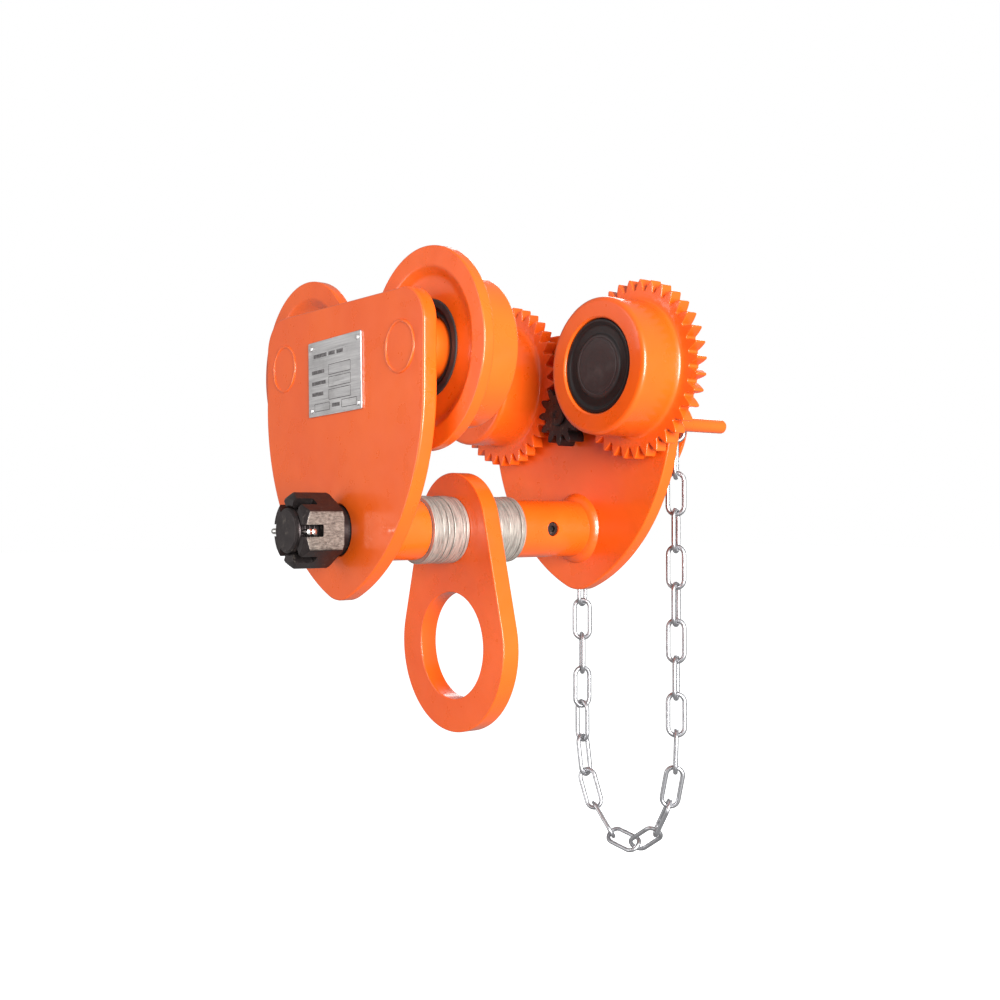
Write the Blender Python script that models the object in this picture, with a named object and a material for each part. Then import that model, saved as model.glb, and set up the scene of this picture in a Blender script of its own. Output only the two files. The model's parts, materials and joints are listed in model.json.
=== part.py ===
"""Geared beam trolley: two side plates hang from the lower flange of an I-beam on four wheels.

Two wheels are plain and flanged. The other two carry gear teeth and are driven by one pinion,
which an endless hand chain turns. A load shaft joins the plates and carries the hanger plate.

Frame: metres. +X runs across the beam from the plain wheels to the geared ones, +Y runs along
the beam and +Z points up. The origin is on the beam's mid-plane, halfway between the wheels,
at the height where the treads roll on the flange.
"""

import math

import bmesh
import bpy
from mathutils import Matrix, Vector

# Places
WHEEL_BASE = 0.180
TREAD_RADIUS = 0.0576
WHEEL_Z = TREAD_RADIUS
SHAFT_Z = -0.0788
PLATE_THICKNESS = 0.012
PLATE_OUTER_X = {-1: -0.130, 1: 0.132}
GAP = 0.0003
ENDS = {"front": -1, "rear": 1}

# Side plates
PLATE_TOP_Z = 0.1012
PLATE_HALF_WIDTH = 0.122
PLATE_CORNER_RADIUS = 0.028
PLATE_SHOULDER_Z = 0.0262
PLATE_FLANK_RADIUS = 0.170
PLATE_NOSE_RADIUS = 0.040

# Wheels, with depths measured inward from the inner face of the side plate
AXLE_PLUG_RADIUS = 0.0187
AXLE_SHOULDER_RADIUS = 0.024
AXLE_SEAT_RADIUS = 0.0175
AXLE_END = 0.0488
LIP_RADIUS = 0.034
LIP_DEPTH = 0.0243
BORE_RADIUS = 0.0399
BEARING_WIDTH = 0.0207
BALL_RADIUS = 0.006
BALL_CIRCLE_RADIUS = 0.0283
BALLS = 6
RACE_STEPS = 16
WHEEL_STEPS = 28
PLAIN_FLANGE_RADIUS = 0.0766
PLAIN_FACE = 0.009
PLAIN_TREAD_END = 0.055
GEAR_FACE = 0.0037
GEAR_WIDTH = 0.0115
GEARED_TREAD_END = 0.0563

# Gearing
MODULE = 0.004
PRESSURE_ANGLE = math.radians(25)
WHEEL_TEETH = 36
PINION_TEETH = 12
WHEEL_TIP_RADIUS = 0.0764
BACKLASH = 0.0004
CENTRE_DISTANCE = MODULE * (WHEEL_TEETH + PINION_TEETH) / 2
DRIVE_Z = WHEEL_Z - math.sqrt(CENTRE_DISTANCE**2 - (WHEEL_BASE / 2) ** 2)

# Load shaft and what it carries
SLEEVE_RADIUS = 0.0253
SLEEVE_BORE_RADIUS = 0.0204
SLEEVE_LENGTH = {-1: 0.062, 1: 0.080}
SHAFT_RADIUS = 0.020
THREAD_RADIUS = 0.0176
SHAFT_END_X = {-1: -0.1760, 1: 0.1345}
SHAFT_SHOULDER_X = -0.1387
SCREW_X = 0.072
SCREW_HOLE_RADIUS = 0.0063
WASHER_RADIUS = 0.0285
HANGER_X = (-0.020, -0.004)
HANGER_TOP_RADIUS = 0.048
HANGER_EYE_RADIUS = 0.045
HANGER_LOBE_RADIUS = 0.073
HANGER_EYE_DROP = 0.098
WASHERS = {-1: (8.6, 4.8, 5.6, 8.9, 3.0, 3.0), 1: (25.5, 12.0, 5.0)}

# Castle nut
NUT_ACROSS_FLATS = 0.052
NUT_X = (-0.1730, -0.1390)
NUT_SLOT_FLOOR_X = -0.1570
NUT_SLOT_WIDTH = 0.0094
COTTER_X = -0.1665

# Hand chain and its wheel
CHAIN_X = 0.184
CHAIN_RADIUS = 0.0643
CHAIN_PITCH = 0.0333
CHAIN_WIRE = 0.0042
CHAIN_LINK_LENGTH = 0.0420
CHAIN_LINK_WIDTH = 0.0192
CHAIN_LINKS = 32
CHAIN_BOTTOM_DEPTH = 0.100
CHAIN_PHASE = -0.012
CHAIN_TWIST_LENGTH = 0.383
CHAIN_SWAY_LENGTH = 0.300
CHAIN_SWAY = math.radians(18)
RIM_RADIUS = 0.068
DRIVE_SHAFT_RADIUS = 0.010
HUB_X = (0.1668, 0.2014)
DRIVE_END_X = 0.220
GUIDE_ROD_Y = 0.092
GUIDE_ROD_Z = 0.0132
GUIDE_ROD_RADIUS = 0.00625
GUIDE_ROD_END_X = 0.215

ORANGE = (0.86, 0.13, 0.02)
BLACK = (0.035, 0.028, 0.027)
ZINC = (0.62, 0.58, 0.53)
STEEL = (0.45, 0.45, 0.46)


# ---------------------------------------------------------------- helpers


def new_object(name, data, colour, roughness=0.4, metallic=0.0, location=(0, 0, 0), parent=None):
    """Links one named object with a material of its own."""
    material = bpy.data.materials.new(name)
    material.use_nodes = True
    shader = material.node_tree.nodes["Principled BSDF"]
    shader.inputs["Base Color"].default_value = (*colour, 1)
    shader.inputs["Roughness"].default_value = roughness
    shader.inputs["Metallic"].default_value = metallic
    data.materials.append(material)
    piece = bpy.data.objects.new(name, data)
    piece.location = location
    piece.parent = parent
    bpy.context.scene.collection.objects.link(piece)
    return piece


def finished_mesh(name, bm):
    """Turns the faces outward, shades round walls smooth and returns the mesh."""
    bmesh.ops.remove_doubles(bm, verts=bm.verts, dist=1e-6)
    bmesh.ops.recalc_face_normals(bm, faces=bm.faces)
    mesh = bpy.data.meshes.new(name)
    bm.to_mesh(mesh)
    bm.free()
    mesh.shade_smooth()
    mesh.set_sharp_from_angle(angle=math.radians(32))
    return mesh


def spin_profile(bm, profile, steps, closed=True):
    """Turns a profile of (x, radius) points about the X axis."""
    verts = [bm.verts.new((x, 0, radius)) for x, radius in profile]
    pairs = list(zip(verts, verts[1:]))
    if closed:
        pairs.append((verts[-1], verts[0]))
    edges = [bm.edges.new(pair) for pair in pairs]
    bmesh.ops.spin(bm, geom=verts + edges, axis=(1, 0, 0), cent=(0, 0, 0), angle=2 * math.pi,
                   steps=steps, use_merge=True, use_duplicate=False)
    bmesh.ops.remove_doubles(bm, verts=bm.verts, dist=1e-6)


def turned_mesh(name, profile, steps=24, closed=True):
    """A ring from a closed profile, or a solid from one that starts and ends on the axis."""
    bm = bmesh.new()
    spin_profile(bm, profile, steps, closed)
    return finished_mesh(name, bm)


def box_profile(x0, x1, inner, outer):
    return [(x0, inner), (x1, inner), (x1, outer), (x0, outer)]


def circle(radius, count, y=0.0, z=0.0, start=0.0):
    turn = 2 * math.pi / count
    return [(y + radius * math.cos(start + turn * i), z + radius * math.sin(start + turn * i))
            for i in range(count)]


def arc(y, z, radius, first, last, steps):
    """Points along an arc, with its angles in degrees from +Y towards +Z."""
    angles = [math.radians(first + (last - first) * i / steps) for i in range(steps + 1)]
    return [(y + radius * math.cos(a), z + radius * math.sin(a)) for a in angles]


def plate_mesh(name, outline, holes, x0, x1):
    """A flat plate from an outline and holes in the YZ plane, extruded from x0 to x1."""
    bm = bmesh.new()
    edges = []
    for loop in [outline, *holes]:
        verts = [bm.verts.new((x0, y, z)) for y, z in loop]
        edges += [bm.edges.new((a, b)) for a, b in zip(verts, verts[1:] + verts[:1])]
    bmesh.ops.triangle_fill(bm, edges=edges, use_beauty=True)
    grown = bmesh.ops.extrude_face_region(bm, geom=bm.faces[:])["geom"]
    moved = [item for item in grown if isinstance(item, bmesh.types.BMVert)]
    bmesh.ops.translate(bm, verts=moved, vec=(x1 - x0, 0, 0))
    return finished_mesh(name, bm)


def cutter(name, data, location=(0, 0, 0), rotation=(0, 0, 0)):
    """A hidden body that a Boolean cuts with."""
    body = bpy.data.objects.new(name, data)
    body.location = location
    body.rotation_euler = rotation
    body.hide_render = True
    body.display_type = "WIRE"
    bpy.context.scene.collection.objects.link(body)
    return body


def combine(piece, body, operation="DIFFERENCE"):
    boolean = piece.modifiers.new(body.name, "BOOLEAN")
    boolean.object = body
    boolean.operation = operation
    boolean.solver = "EXACT"


def box_mesh(name, size):
    bm = bmesh.new()
    bmesh.ops.create_cube(bm, size=1, matrix=Matrix.Diagonal((*size, 1)))
    return finished_mesh(name, bm)


def wire_curve(name, path, radius):
    """Wire along a path, with capped ends."""
    curve = bpy.data.curves.new(name, "CURVE")
    curve.dimensions = "3D"
    curve.bevel_depth = radius
    curve.bevel_resolution = 1
    curve.use_fill_caps = True
    spline = curve.splines.new("POLY")
    spline.points.add(len(path) - 1)
    for point, place in zip(spline.points, path):
        point.co = (*place, 1)
    return curve


def inner_x(side):
    """The inner face of the side plate on that side of the beam."""
    return PLATE_OUTER_X[side] - side * PLATE_THICKNESS


def from_plate(side, profile):
    """Changes a profile's depths, measured inward from the side plate, into x."""
    return [(inner_x(side) - side * depth, radius) for depth, radius in profile]


def axis_empty(name, y, z):
    empty = bpy.data.objects.new(name, None)
    empty.location = (0, y, z)
    bpy.context.scene.collection.objects.link(empty)
    return empty


# ---------------------------------------------------------------- gear teeth


def involute(angle):
    return math.tan(angle) - angle


def gear_outline(teeth, tip_radius, phase, flank_steps=2):
    """One point loop around a gear. A tooth is centred on the phase angle."""
    pitch_radius = MODULE * teeth / 2
    base_radius = pitch_radius * math.cos(PRESSURE_ANGLE)
    root_radius = pitch_radius - 1.25 * MODULE
    half_tooth = math.pi / 2 / teeth - BACKLASH / 4 / pitch_radius + involute(PRESSURE_ANGLE)
    start = max(base_radius, root_radius)
    flank = []
    for step in range(flank_steps + 1):
        radius = start + (tip_radius - start) * step / flank_steps
        turn = half_tooth - involute(math.acos(min(1, base_radius / radius)))
        flank.append((radius, turn))
    if base_radius > root_radius:
        flank.insert(0, (root_radius, flank[0][1] + 0.08 * math.pi / teeth))
    outline = []
    for tooth in range(teeth):
        centre = phase + 2 * math.pi * tooth / teeth
        sides = [(r, centre - t) for r, t in flank] + [(r, centre + t) for r, t in reversed(flank)]
        outline += [(r * math.cos(a), r * math.sin(a)) for r, a in sides]
    return outline


def wheel_gear_phase(end):
    """Turns the wheel's teeth so that they mesh with a pinion tooth at phase 0."""
    line = math.atan2(WHEEL_Z - DRIVE_Z, end * WHEEL_BASE / 2)
    past_tooth = math.fmod(line, 2 * math.pi / PINION_TEETH)
    space = line + math.pi + past_tooth * PINION_TEETH / WHEEL_TEETH
    return space + math.pi / WHEEL_TEETH


# ---------------------------------------------------------------- side plates


def side_plate_outline():
    """Straight top with round corners, flanks in a wide arc and a round nose below."""
    flank_y = PLATE_HALF_WIDTH - PLATE_FLANK_RADIUS
    drop = math.sqrt((PLATE_FLANK_RADIUS - PLATE_NOSE_RADIUS) ** 2 - flank_y**2)
    tangent = math.degrees(math.atan2(drop, -flank_y))
    corner_y = PLATE_HALF_WIDTH - PLATE_CORNER_RADIUS
    corner_z = PLATE_TOP_Z - PLATE_CORNER_RADIUS
    right = arc(corner_y, corner_z, PLATE_CORNER_RADIUS, 90, 0, 5)
    right += arc(flank_y, PLATE_SHOULDER_Z, PLATE_FLANK_RADIUS, 0, -tangent, 8)
    nose = arc(0, PLATE_SHOULDER_Z - drop, PLATE_NOSE_RADIUS, -tangent, -90, 4)[1:]
    half = right + nose
    return half + [(-y, z) for y, z in reversed(half[:-1])]


def make_side_plate(name, side, drive_hole_radius=None):
    holes = [circle(AXLE_PLUG_RADIUS + GAP, 24, end * WHEEL_BASE / 2, WHEEL_Z)
             for end in ENDS.values()]
    holes.append(circle(SHAFT_RADIUS + 2 * GAP, 24, 0, SHAFT_Z))
    if drive_hole_radius:
        holes.append(circle(drive_hole_radius, 24, 0, DRIVE_Z))
    mesh = plate_mesh(name, side_plate_outline(), holes, PLATE_OUTER_X[side], inner_x(side))
    new_object(name, mesh, ORANGE, 0.35)


def make_nameplate():
    """A thin plate on the left side plate, with a rivet head in each corner."""
    width, height, thickness = 0.083, 0.061, 0.0011
    x = PLATE_OUTER_X[-1] - GAP - thickness / 2
    tilt = (math.radians(-1.5), 0, 0)
    centre = (x, 0.0035, 0.0445)
    plate = new_object("nameplate", box_mesh("nameplate", (thickness, width, height)),
                       (0.55, 0.53, 0.52), 0.35, 0.9, centre)
    plate.rotation_euler = tilt
    base, top = 0, -thickness / 2 - 0.0010
    head = [(base, 0), (base, 0.0022), (top + 0.0004, 0.0020), (top, 0.0010), (top, 0)]
    bm = bmesh.new()
    for y in (-1, 1):
        for z in (-1, 1):
            rivet = turned_mesh("rivet", head, 8, closed=False)
            place = (0, y * (width / 2 - 0.005), z * (height / 2 - 0.005))
            rivet.transform(Matrix.Translation(place))
            bm.from_mesh(rivet)
            bpy.data.meshes.remove(rivet)
    combine(plate, cutter("rivet_heads", finished_mesh("rivet_heads", bm), centre, tilt), "UNION")


# ---------------------------------------------------------------- wheels


def bore_profile(mouth):
    """The wheel's bore from its tread face to the lip that the bearing rests against."""
    return [(mouth, BORE_RADIUS + 0.001), (mouth - 0.001, BORE_RADIUS), (LIP_DEPTH, BORE_RADIUS),
            (LIP_DEPTH, LIP_RADIUS)]


def plain_wheel_mesh(name):
    """A flanged wheel: dished outer face, flange, and a tread with rounded edges."""
    face, flange_end, mouth = PLAIN_FACE, PLAIN_FACE + 0.009, PLAIN_TREAD_END
    profile = [(face + 0.005, LIP_RADIUS), (face + 0.005, 0.054), (face, 0.062),
               (face, PLAIN_FLANGE_RADIUS - 0.001), (face + 0.001, PLAIN_FLANGE_RADIUS),
               (flange_end - 0.001, PLAIN_FLANGE_RADIUS), (flange_end, PLAIN_FLANGE_RADIUS - 0.001),
               (flange_end, TREAD_RADIUS + 0.003), (flange_end + 0.003, TREAD_RADIUS),
               (mouth - 0.002, TREAD_RADIUS), (mouth, TREAD_RADIUS - 0.002)]
    return turned_mesh(name, from_plate(-1, profile + bore_profile(mouth)), WHEEL_STEPS)


def geared_wheel_mesh(name, end):
    """A wheel whose flange is a spur gear."""
    back, front, mouth = GEAR_FACE, GEAR_FACE + GEAR_WIDTH, GEARED_TREAD_END
    profile = [(front, TREAD_RADIUS + 0.004), (front + 0.0012, TREAD_RADIUS + 0.0012),
               (front + 0.004, TREAD_RADIUS), (mouth - 0.003, TREAD_RADIUS),
               (mouth - 0.0009, TREAD_RADIUS - 0.0009), (mouth, TREAD_RADIUS - 0.003)]
    profile += bore_profile(mouth) + [(back, LIP_RADIUS)]
    bm = bmesh.new()
    spin_profile(bm, from_plate(1, profile), WHEEL_STEPS, closed=False)
    outline = gear_outline(WHEEL_TEETH, WHEEL_TIP_RADIUS, wheel_gear_phase(end))
    loops = []
    for depth in (front, back):
        x = inner_x(1) - depth
        rim = [edge for edge in bm.edges if edge.is_boundary
               and all(abs(vert.co.x - x) < 1e-6 for vert in edge.verts)]
        verts = [bm.verts.new((x, y, z)) for y, z in outline]
        teeth = [bm.edges.new((a, b)) for a, b in zip(verts, verts[1:] + verts[:1])]
        bmesh.ops.triangle_fill(bm, edges=rim + teeth, use_beauty=True)
        loops.append(verts)
    for i, vert in enumerate(loops[0]):
        bm.faces.new((vert, loops[0][i - 1], loops[1][i - 1], loops[1][i]))
    return finished_mesh(name, bm)


def make_axle(name, side, y):
    """A stub axle welded into the side plate, with a shoulder and a grooved bearing seat."""
    groove = LIP_DEPTH + BEARING_WIDTH + 2 * GAP
    profile = [(-PLATE_THICKNESS, 0), (-PLATE_THICKNESS, AXLE_PLUG_RADIUS),
               (GAP, AXLE_PLUG_RADIUS), (GAP, AXLE_SHOULDER_RADIUS),
               (LIP_DEPTH, AXLE_SHOULDER_RADIUS), (LIP_DEPTH, AXLE_SEAT_RADIUS),
               (groove, AXLE_SEAT_RADIUS), (groove, AXLE_SEAT_RADIUS - 0.0015),
               (groove + 0.002, AXLE_SEAT_RADIUS - 0.0015), (groove + 0.002, AXLE_SEAT_RADIUS),
               (AXLE_END, AXLE_SEAT_RADIUS), (AXLE_END, 0)]
    mesh = turned_mesh(name, from_plate(side, profile), RACE_STEPS, closed=False)
    new_object(name, mesh, ORANGE, 0.4, location=(0, y, WHEEL_Z))


def groove_profile(middle, land, direction):
    """Four points of a ball groove, cut from the land towards the race's wall."""
    radius = BALL_RADIUS + 0.0009
    half = math.sqrt(radius**2 - (land - BALL_CIRCLE_RADIUS) ** 2)
    floor = BALL_CIRCLE_RADIUS + direction * radius
    return [(middle - half, land), (middle - 0.003, floor), (middle + 0.003, floor),
            (middle + half, land)]


def make_bearing(wheel, side, y, axis):
    """A deep-groove ball bearing: the inner race stays on the axle, the outer turns."""
    near, far = LIP_DEPTH + GAP, LIP_DEPTH + BEARING_WIDTH
    middle = (near + far) / 2
    inner = [(far, AXLE_SEAT_RADIUS + GAP), (near, AXLE_SEAT_RADIUS + GAP), (near, 0.0248)]
    inner += groove_profile(middle, 0.0248, -1) + [(far, 0.0248)]
    outer = [(far, BORE_RADIUS - GAP), (near, BORE_RADIUS - GAP), (near, 0.0318)]
    outer += groove_profile(middle, 0.0318, 1) + [(far, 0.0318)]
    name = f"{wheel}_bearing_inner_race"
    new_object(name, turned_mesh(name, from_plate(side, inner), RACE_STEPS), STEEL, 0.25, 1.0,
               (0, y, WHEEL_Z))
    name = f"{wheel}_bearing_outer_race"
    new_object(name, turned_mesh(name, from_plate(side, outer), RACE_STEPS), STEEL, 0.25, 1.0,
               parent=axis)
    x = inner_x(side) - side * middle
    name = f"{wheel}_bearing_cage"
    ring = box_profile(x - 0.0016, x + 0.0016, BALL_CIRCLE_RADIUS - 0.0008,
                       BALL_CIRCLE_RADIUS + 0.0008)
    cage = new_object(name, turned_mesh(name, ring, 2 * BALLS), STEEL, 0.15, 1.0, (0, y, WHEEL_Z))
    bm = bmesh.new()
    for i in range(BALLS):
        turn = 2 * math.pi * i / BALLS
        place = (x, BALL_CIRCLE_RADIUS * math.cos(turn), BALL_CIRCLE_RADIUS * math.sin(turn))
        bmesh.ops.create_icosphere(bm, subdivisions=1, radius=BALL_RADIUS,
                                   matrix=Matrix.Translation(place))
    balls = finished_mesh(f"{wheel}_balls", bm)
    combine(cage, cutter(f"{wheel}_balls", balls, (0, y, WHEEL_Z)), "UNION")


def open_ring(name, side, depth, width, inner, outer, mouth_degrees):
    """A circlip: a flat ring with a gap at its top."""
    first = 90 + mouth_degrees / 2
    last = 450 - mouth_degrees / 2
    outline = arc(0, 0, outer, first, last, 9) + arc(0, 0, inner, last, first, 9)
    x = inner_x(side) - side * depth
    return plate_mesh(name, outline, [], x, x - side * width)


def make_wheel(wheel, side, end):
    y = end * WHEEL_BASE / 2
    axis = axis_empty(f"{wheel}_axis", y, WHEEL_Z)
    geared = side > 0
    if geared:
        mesh = geared_wheel_mesh(wheel, end)
    else:
        mesh = plain_wheel_mesh(wheel)
    new_object(wheel, mesh, ORANGE, 0.35, parent=axis)
    make_axle(f"{wheel}_axle", side, y)
    make_bearing(wheel, side, y, axis)

    face = GEAR_FACE if geared else PLAIN_FACE + 0.005
    seal = box_profile(face + 0.001, face + 0.007, AXLE_SHOULDER_RADIUS + 0.0008,
                       LIP_RADIUS - 0.0004)
    name = f"{wheel}_seal"
    new_object(name, turned_mesh(name, from_plate(side, seal), 18), BLACK, 0.6, parent=axis)

    mouth = GEARED_TREAD_END if geared else PLAIN_TREAD_END
    cap_back = AXLE_END + 0.0012
    rim, dish, boss = mouth - 0.0016, mouth - 0.0032, mouth - 0.0020
    cap = [(cap_back, 0), (cap_back, BORE_RADIUS - 0.0005), (rim, BORE_RADIUS - 0.0005),
           (rim, 0.0355), (dish, 0.0345), (dish, 0.0265), (boss, 0.0250), (boss, 0)]
    name = f"{wheel}_dust_cap"
    new_object(name, turned_mesh(name, from_plate(side, cap), 18, closed=False), BLACK, 0.45,
               parent=axis)

    name = f"{wheel}_axle_circlip"
    depth = LIP_DEPTH + BEARING_WIDTH + 2.5 * GAP
    clip = open_ring(name, side, depth, 0.0014, AXLE_SEAT_RADIUS - 0.0003, 0.0212, 50)
    new_object(name, clip, STEEL, 0.4, 1.0, (0, y, WHEEL_Z))


# ---------------------------------------------------------------- load shaft


def make_sleeve(name, side):
    """A tube welded to the side plate, with the weld bead around its foot."""
    length = SLEEVE_LENGTH[side]
    profile = [(length, SLEEVE_BORE_RADIUS), (GAP, SLEEVE_BORE_RADIUS), (GAP, 0.0320),
               (0.0025, 0.0310), (0.0060, 0.0270), (0.0075, SLEEVE_RADIUS),
               (length - 0.0008, SLEEVE_RADIUS), (length, SLEEVE_RADIUS - 0.0008)]
    return new_object(name, turned_mesh(name, from_plate(side, profile), 24), ORANGE, 0.35,
                      location=(0, 0, SHAFT_Z))


def make_sleeve_screw(sleeve):
    """A socket screw across the sleeve that keeps the load shaft from turning and sliding."""
    across = (0, 0, -math.pi / 2)
    hole = turned_mesh("screw_hole", [(0.012, 0), (0.012, SCREW_HOLE_RADIUS),
                                      (0.030, SCREW_HOLE_RADIUS), (0.030, 0)], 12, closed=False)
    combine(sleeve, cutter("screw_hole", hole, (SCREW_X, 0, SHAFT_Z), across))
    tip, top, radius = SHAFT_RADIUS + GAP, 0.0236, SCREW_HOLE_RADIUS - 0.0004
    mesh = turned_mesh("sleeve_screw", [(tip, 0), (tip, radius), (top, radius), (top, 0)], 12,
                       closed=False)
    screw = new_object("sleeve_screw", mesh, BLACK, 0.4, 0.6, (SCREW_X, 0, SHAFT_Z))
    screw.rotation_euler = across
    socket = plate_mesh("screw_socket", circle(0.0034, 6), [], top - 0.0025, 0.030)
    combine(screw, cutter("screw_socket", socket, (SCREW_X, 0, SHAFT_Z), across))


def make_load_shaft():
    left, right = SHAFT_END_X[-1], SHAFT_END_X[1]
    profile = [(left, 0), (left, THREAD_RADIUS - 0.0015), (left + 0.0015, THREAD_RADIUS),
               (SHAFT_SHOULDER_X, THREAD_RADIUS), (SHAFT_SHOULDER_X, SHAFT_RADIUS),
               (right - 0.0015, SHAFT_RADIUS), (right, SHAFT_RADIUS - 0.0015), (right, 0)]
    mesh = turned_mesh("load_shaft", profile, 24, closed=False)
    shaft = new_object("load_shaft", mesh, BLACK, 0.4, 0.7, (0, 0, SHAFT_Z))
    hole = turned_mesh("cotter_hole", [(-0.03, 0), (-0.03, 0.0052), (0.03, 0.0052), (0.03, 0)],
                       8, closed=False)
    combine(shaft, cutter("cotter_hole", hole, (COTTER_X, 0, SHAFT_Z), (0, 0, math.pi / 2)))


def make_castle_nut():
    """A hexagon nut with chamfered ends and six slots, one in the middle of each flat."""
    first, last = NUT_X
    corner = NUT_ACROSS_FLATS / math.sqrt(3)
    bore = THREAD_RADIUS + 0.0006
    profile = [(first, bore), (first, 0.0244), (first + 0.0044, corner + 0.0004),
               (last - 0.0034, corner + 0.0004), (last, 0.0270), (last, bore)]
    nut = new_object("castle_nut", turned_mesh("castle_nut", profile, 30), BLACK, 0.4, 0.7,
                     (0, 0, SHAFT_Z))
    hexagon = plate_mesh("hexagon", circle(corner, 6, start=math.pi / 2), [],
                         first - 0.005, last + 0.005)
    combine(nut, cutter("hexagon", hexagon, (0, 0, SHAFT_Z)), "INTERSECT")
    depth = NUT_SLOT_FLOOR_X - first + 0.004
    slot = box_mesh("nut_slot", (depth, 0.080, NUT_SLOT_WIDTH))
    for i in range(3):
        place = (NUT_SLOT_FLOOR_X - depth / 2, 0, SHAFT_Z)
        combine(nut, cutter(f"nut_slot_{i}", slot, place, (i * math.pi / 3, 0, 0)))


def make_cotter_pin():
    """A split pin along Y through the nut's slots: folded wire with its eye at the rear."""
    wire, eye_radius, tip, eye_start = 0.0042, 0.0058, -0.0250, 0.0280
    apart = wire / 2 + 0.0001
    leg = [(tip, apart), (eye_start, apart)]
    turns = [math.radians(40 + 28 * i) for i in range(11)]
    eye = [(eye_start + eye_radius * (1 - math.cos(a)), eye_radius * math.sin(a)) for a in turns]
    folded = leg + eye + [(y, -x) for y, x in reversed(leg)]
    path = [(COTTER_X + x, y, SHAFT_Z) for y, x in folded]
    new_object("cotter_pin", wire_curve("cotter_pin", path, wire / 2), ZINC, 0.3, 1.0)


def make_spacer_washers(side_name, side):
    """Loose washers between the sleeve and the hanger plate, which set the trolley's width."""
    start = inner_x(side) - side * SLEEVE_LENGTH[side]
    stop = HANGER_X[0] if side < 0 else HANGER_X[1]
    widths = WASHERS[side] if side < 0 else tuple(reversed(WASHERS[side]))
    free = abs(stop - start) - GAP * (len(widths) + 1)
    x = start - side * GAP
    for number, width in enumerate(widths, 1):
        step = -side * free * width / sum(widths)
        name = f"spacer_washer_{side_name}_{number}"
        ring = turned_mesh(name, box_profile(x, x + step, SLEEVE_BORE_RADIUS, WASHER_RADIUS), 20)
        new_object(name, ring, ZINC, 0.35, 1.0, (0, 0, SHAFT_Z))
        x += step - side * GAP


def make_hanger_plate():
    """A thick plate that swings on the load shaft, with an eye for the hoist's hook below."""
    slope = math.degrees(math.asin((HANGER_LOBE_RADIUS - HANGER_TOP_RADIUS) / HANGER_EYE_DROP))
    outline = arc(0, 0, HANGER_TOP_RADIUS, slope, 180 - slope, 14)
    outline += arc(0, -HANGER_EYE_DROP, HANGER_LOBE_RADIUS, 180 - slope, 360 + slope, 24)
    holes = [circle(SHAFT_RADIUS + 0.0007, 28), circle(HANGER_EYE_RADIUS, 32, 0, -HANGER_EYE_DROP)]
    mesh = plate_mesh("hanger_plate", outline, holes, HANGER_X[0], HANGER_X[1])
    new_object("hanger_plate", mesh, ORANGE, 0.35, location=(0, 0, SHAFT_Z))


# ---------------------------------------------------------------- drive


def make_pinion_shaft(axis):
    """The pinion and its shaft are one piece: pinion, journal, keyed seat and threaded end."""
    front, back = 0.0990, 0.1172
    profile = [(0.0960, 0), (0.0960, 0.0090), (0.0970, DRIVE_SHAFT_RADIUS),
               (front, DRIVE_SHAFT_RADIUS)]
    journal = [(back, DRIVE_SHAFT_RADIUS), (HUB_X[0] - GAP, DRIVE_SHAFT_RADIUS),
               (HUB_X[0] - GAP, 0.0080), (HUB_X[1], 0.0080), (HUB_X[1], 0.0068),
               (DRIVE_END_X - 0.001, 0.0068), (DRIVE_END_X, 0.0058), (DRIVE_END_X, 0)]
    bm = bmesh.new()
    outline = gear_outline(PINION_TEETH, MODULE * (PINION_TEETH / 2 + 1), 0)
    spin_profile(bm, profile, 16, closed=False)
    spin_profile(bm, journal, 16, closed=False)
    loops = []
    for x in (front, back):
        rim = [edge for edge in bm.edges if edge.is_boundary
               and all(abs(vert.co.x - x) < 1e-6 for vert in edge.verts)]
        verts = [bm.verts.new((x, y, z)) for y, z in outline]
        teeth = [bm.edges.new((a, b)) for a, b in zip(verts, verts[1:] + verts[:1])]
        bmesh.ops.triangle_fill(bm, edges=rim + teeth, use_beauty=True)
        loops.append(verts)
    for i, vert in enumerate(loops[0]):
        bm.faces.new((vert, loops[0][i - 1], loops[1][i - 1], loops[1][i]))
    shaft = new_object("pinion_shaft", finished_mesh("pinion_shaft", bm), BLACK, 0.4, 0.7,
                       parent=axis)
    seat = cutter("key_seat", box_mesh("key_seat", (0.0186, 0.0056, 0.0060)),
                  (0.1840, 0, DRIVE_Z + 0.0080))
    combine(shaft, seat)


def chain_wheel_profile(groove_half, pocket_half):
    """From hub to rim: web, grooved rim for the chain, and the way back to the hub."""
    half, floor, web = 0.0130, 0.0540, 0.004
    right = [(half, floor - 0.004), (half, RIM_RADIUS - 0.001), (pocket_half + 0.001, RIM_RADIUS),
             (groove_half, floor + 0.006), (0.0078, floor)]
    hub = 0.0170
    near, far = HUB_X[0] - CHAIN_X, HUB_X[1] - CHAIN_X
    left = [(-x, r) for x, r in reversed(right)]
    bore = 0.0084
    return ([(far, bore), (far, hub), (web, hub + 0.002), (web, floor - 0.006)] + right + left
            + [(-web, floor - 0.006), (-web, hub + 0.002), (near, hub), (near, bore)])


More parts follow.
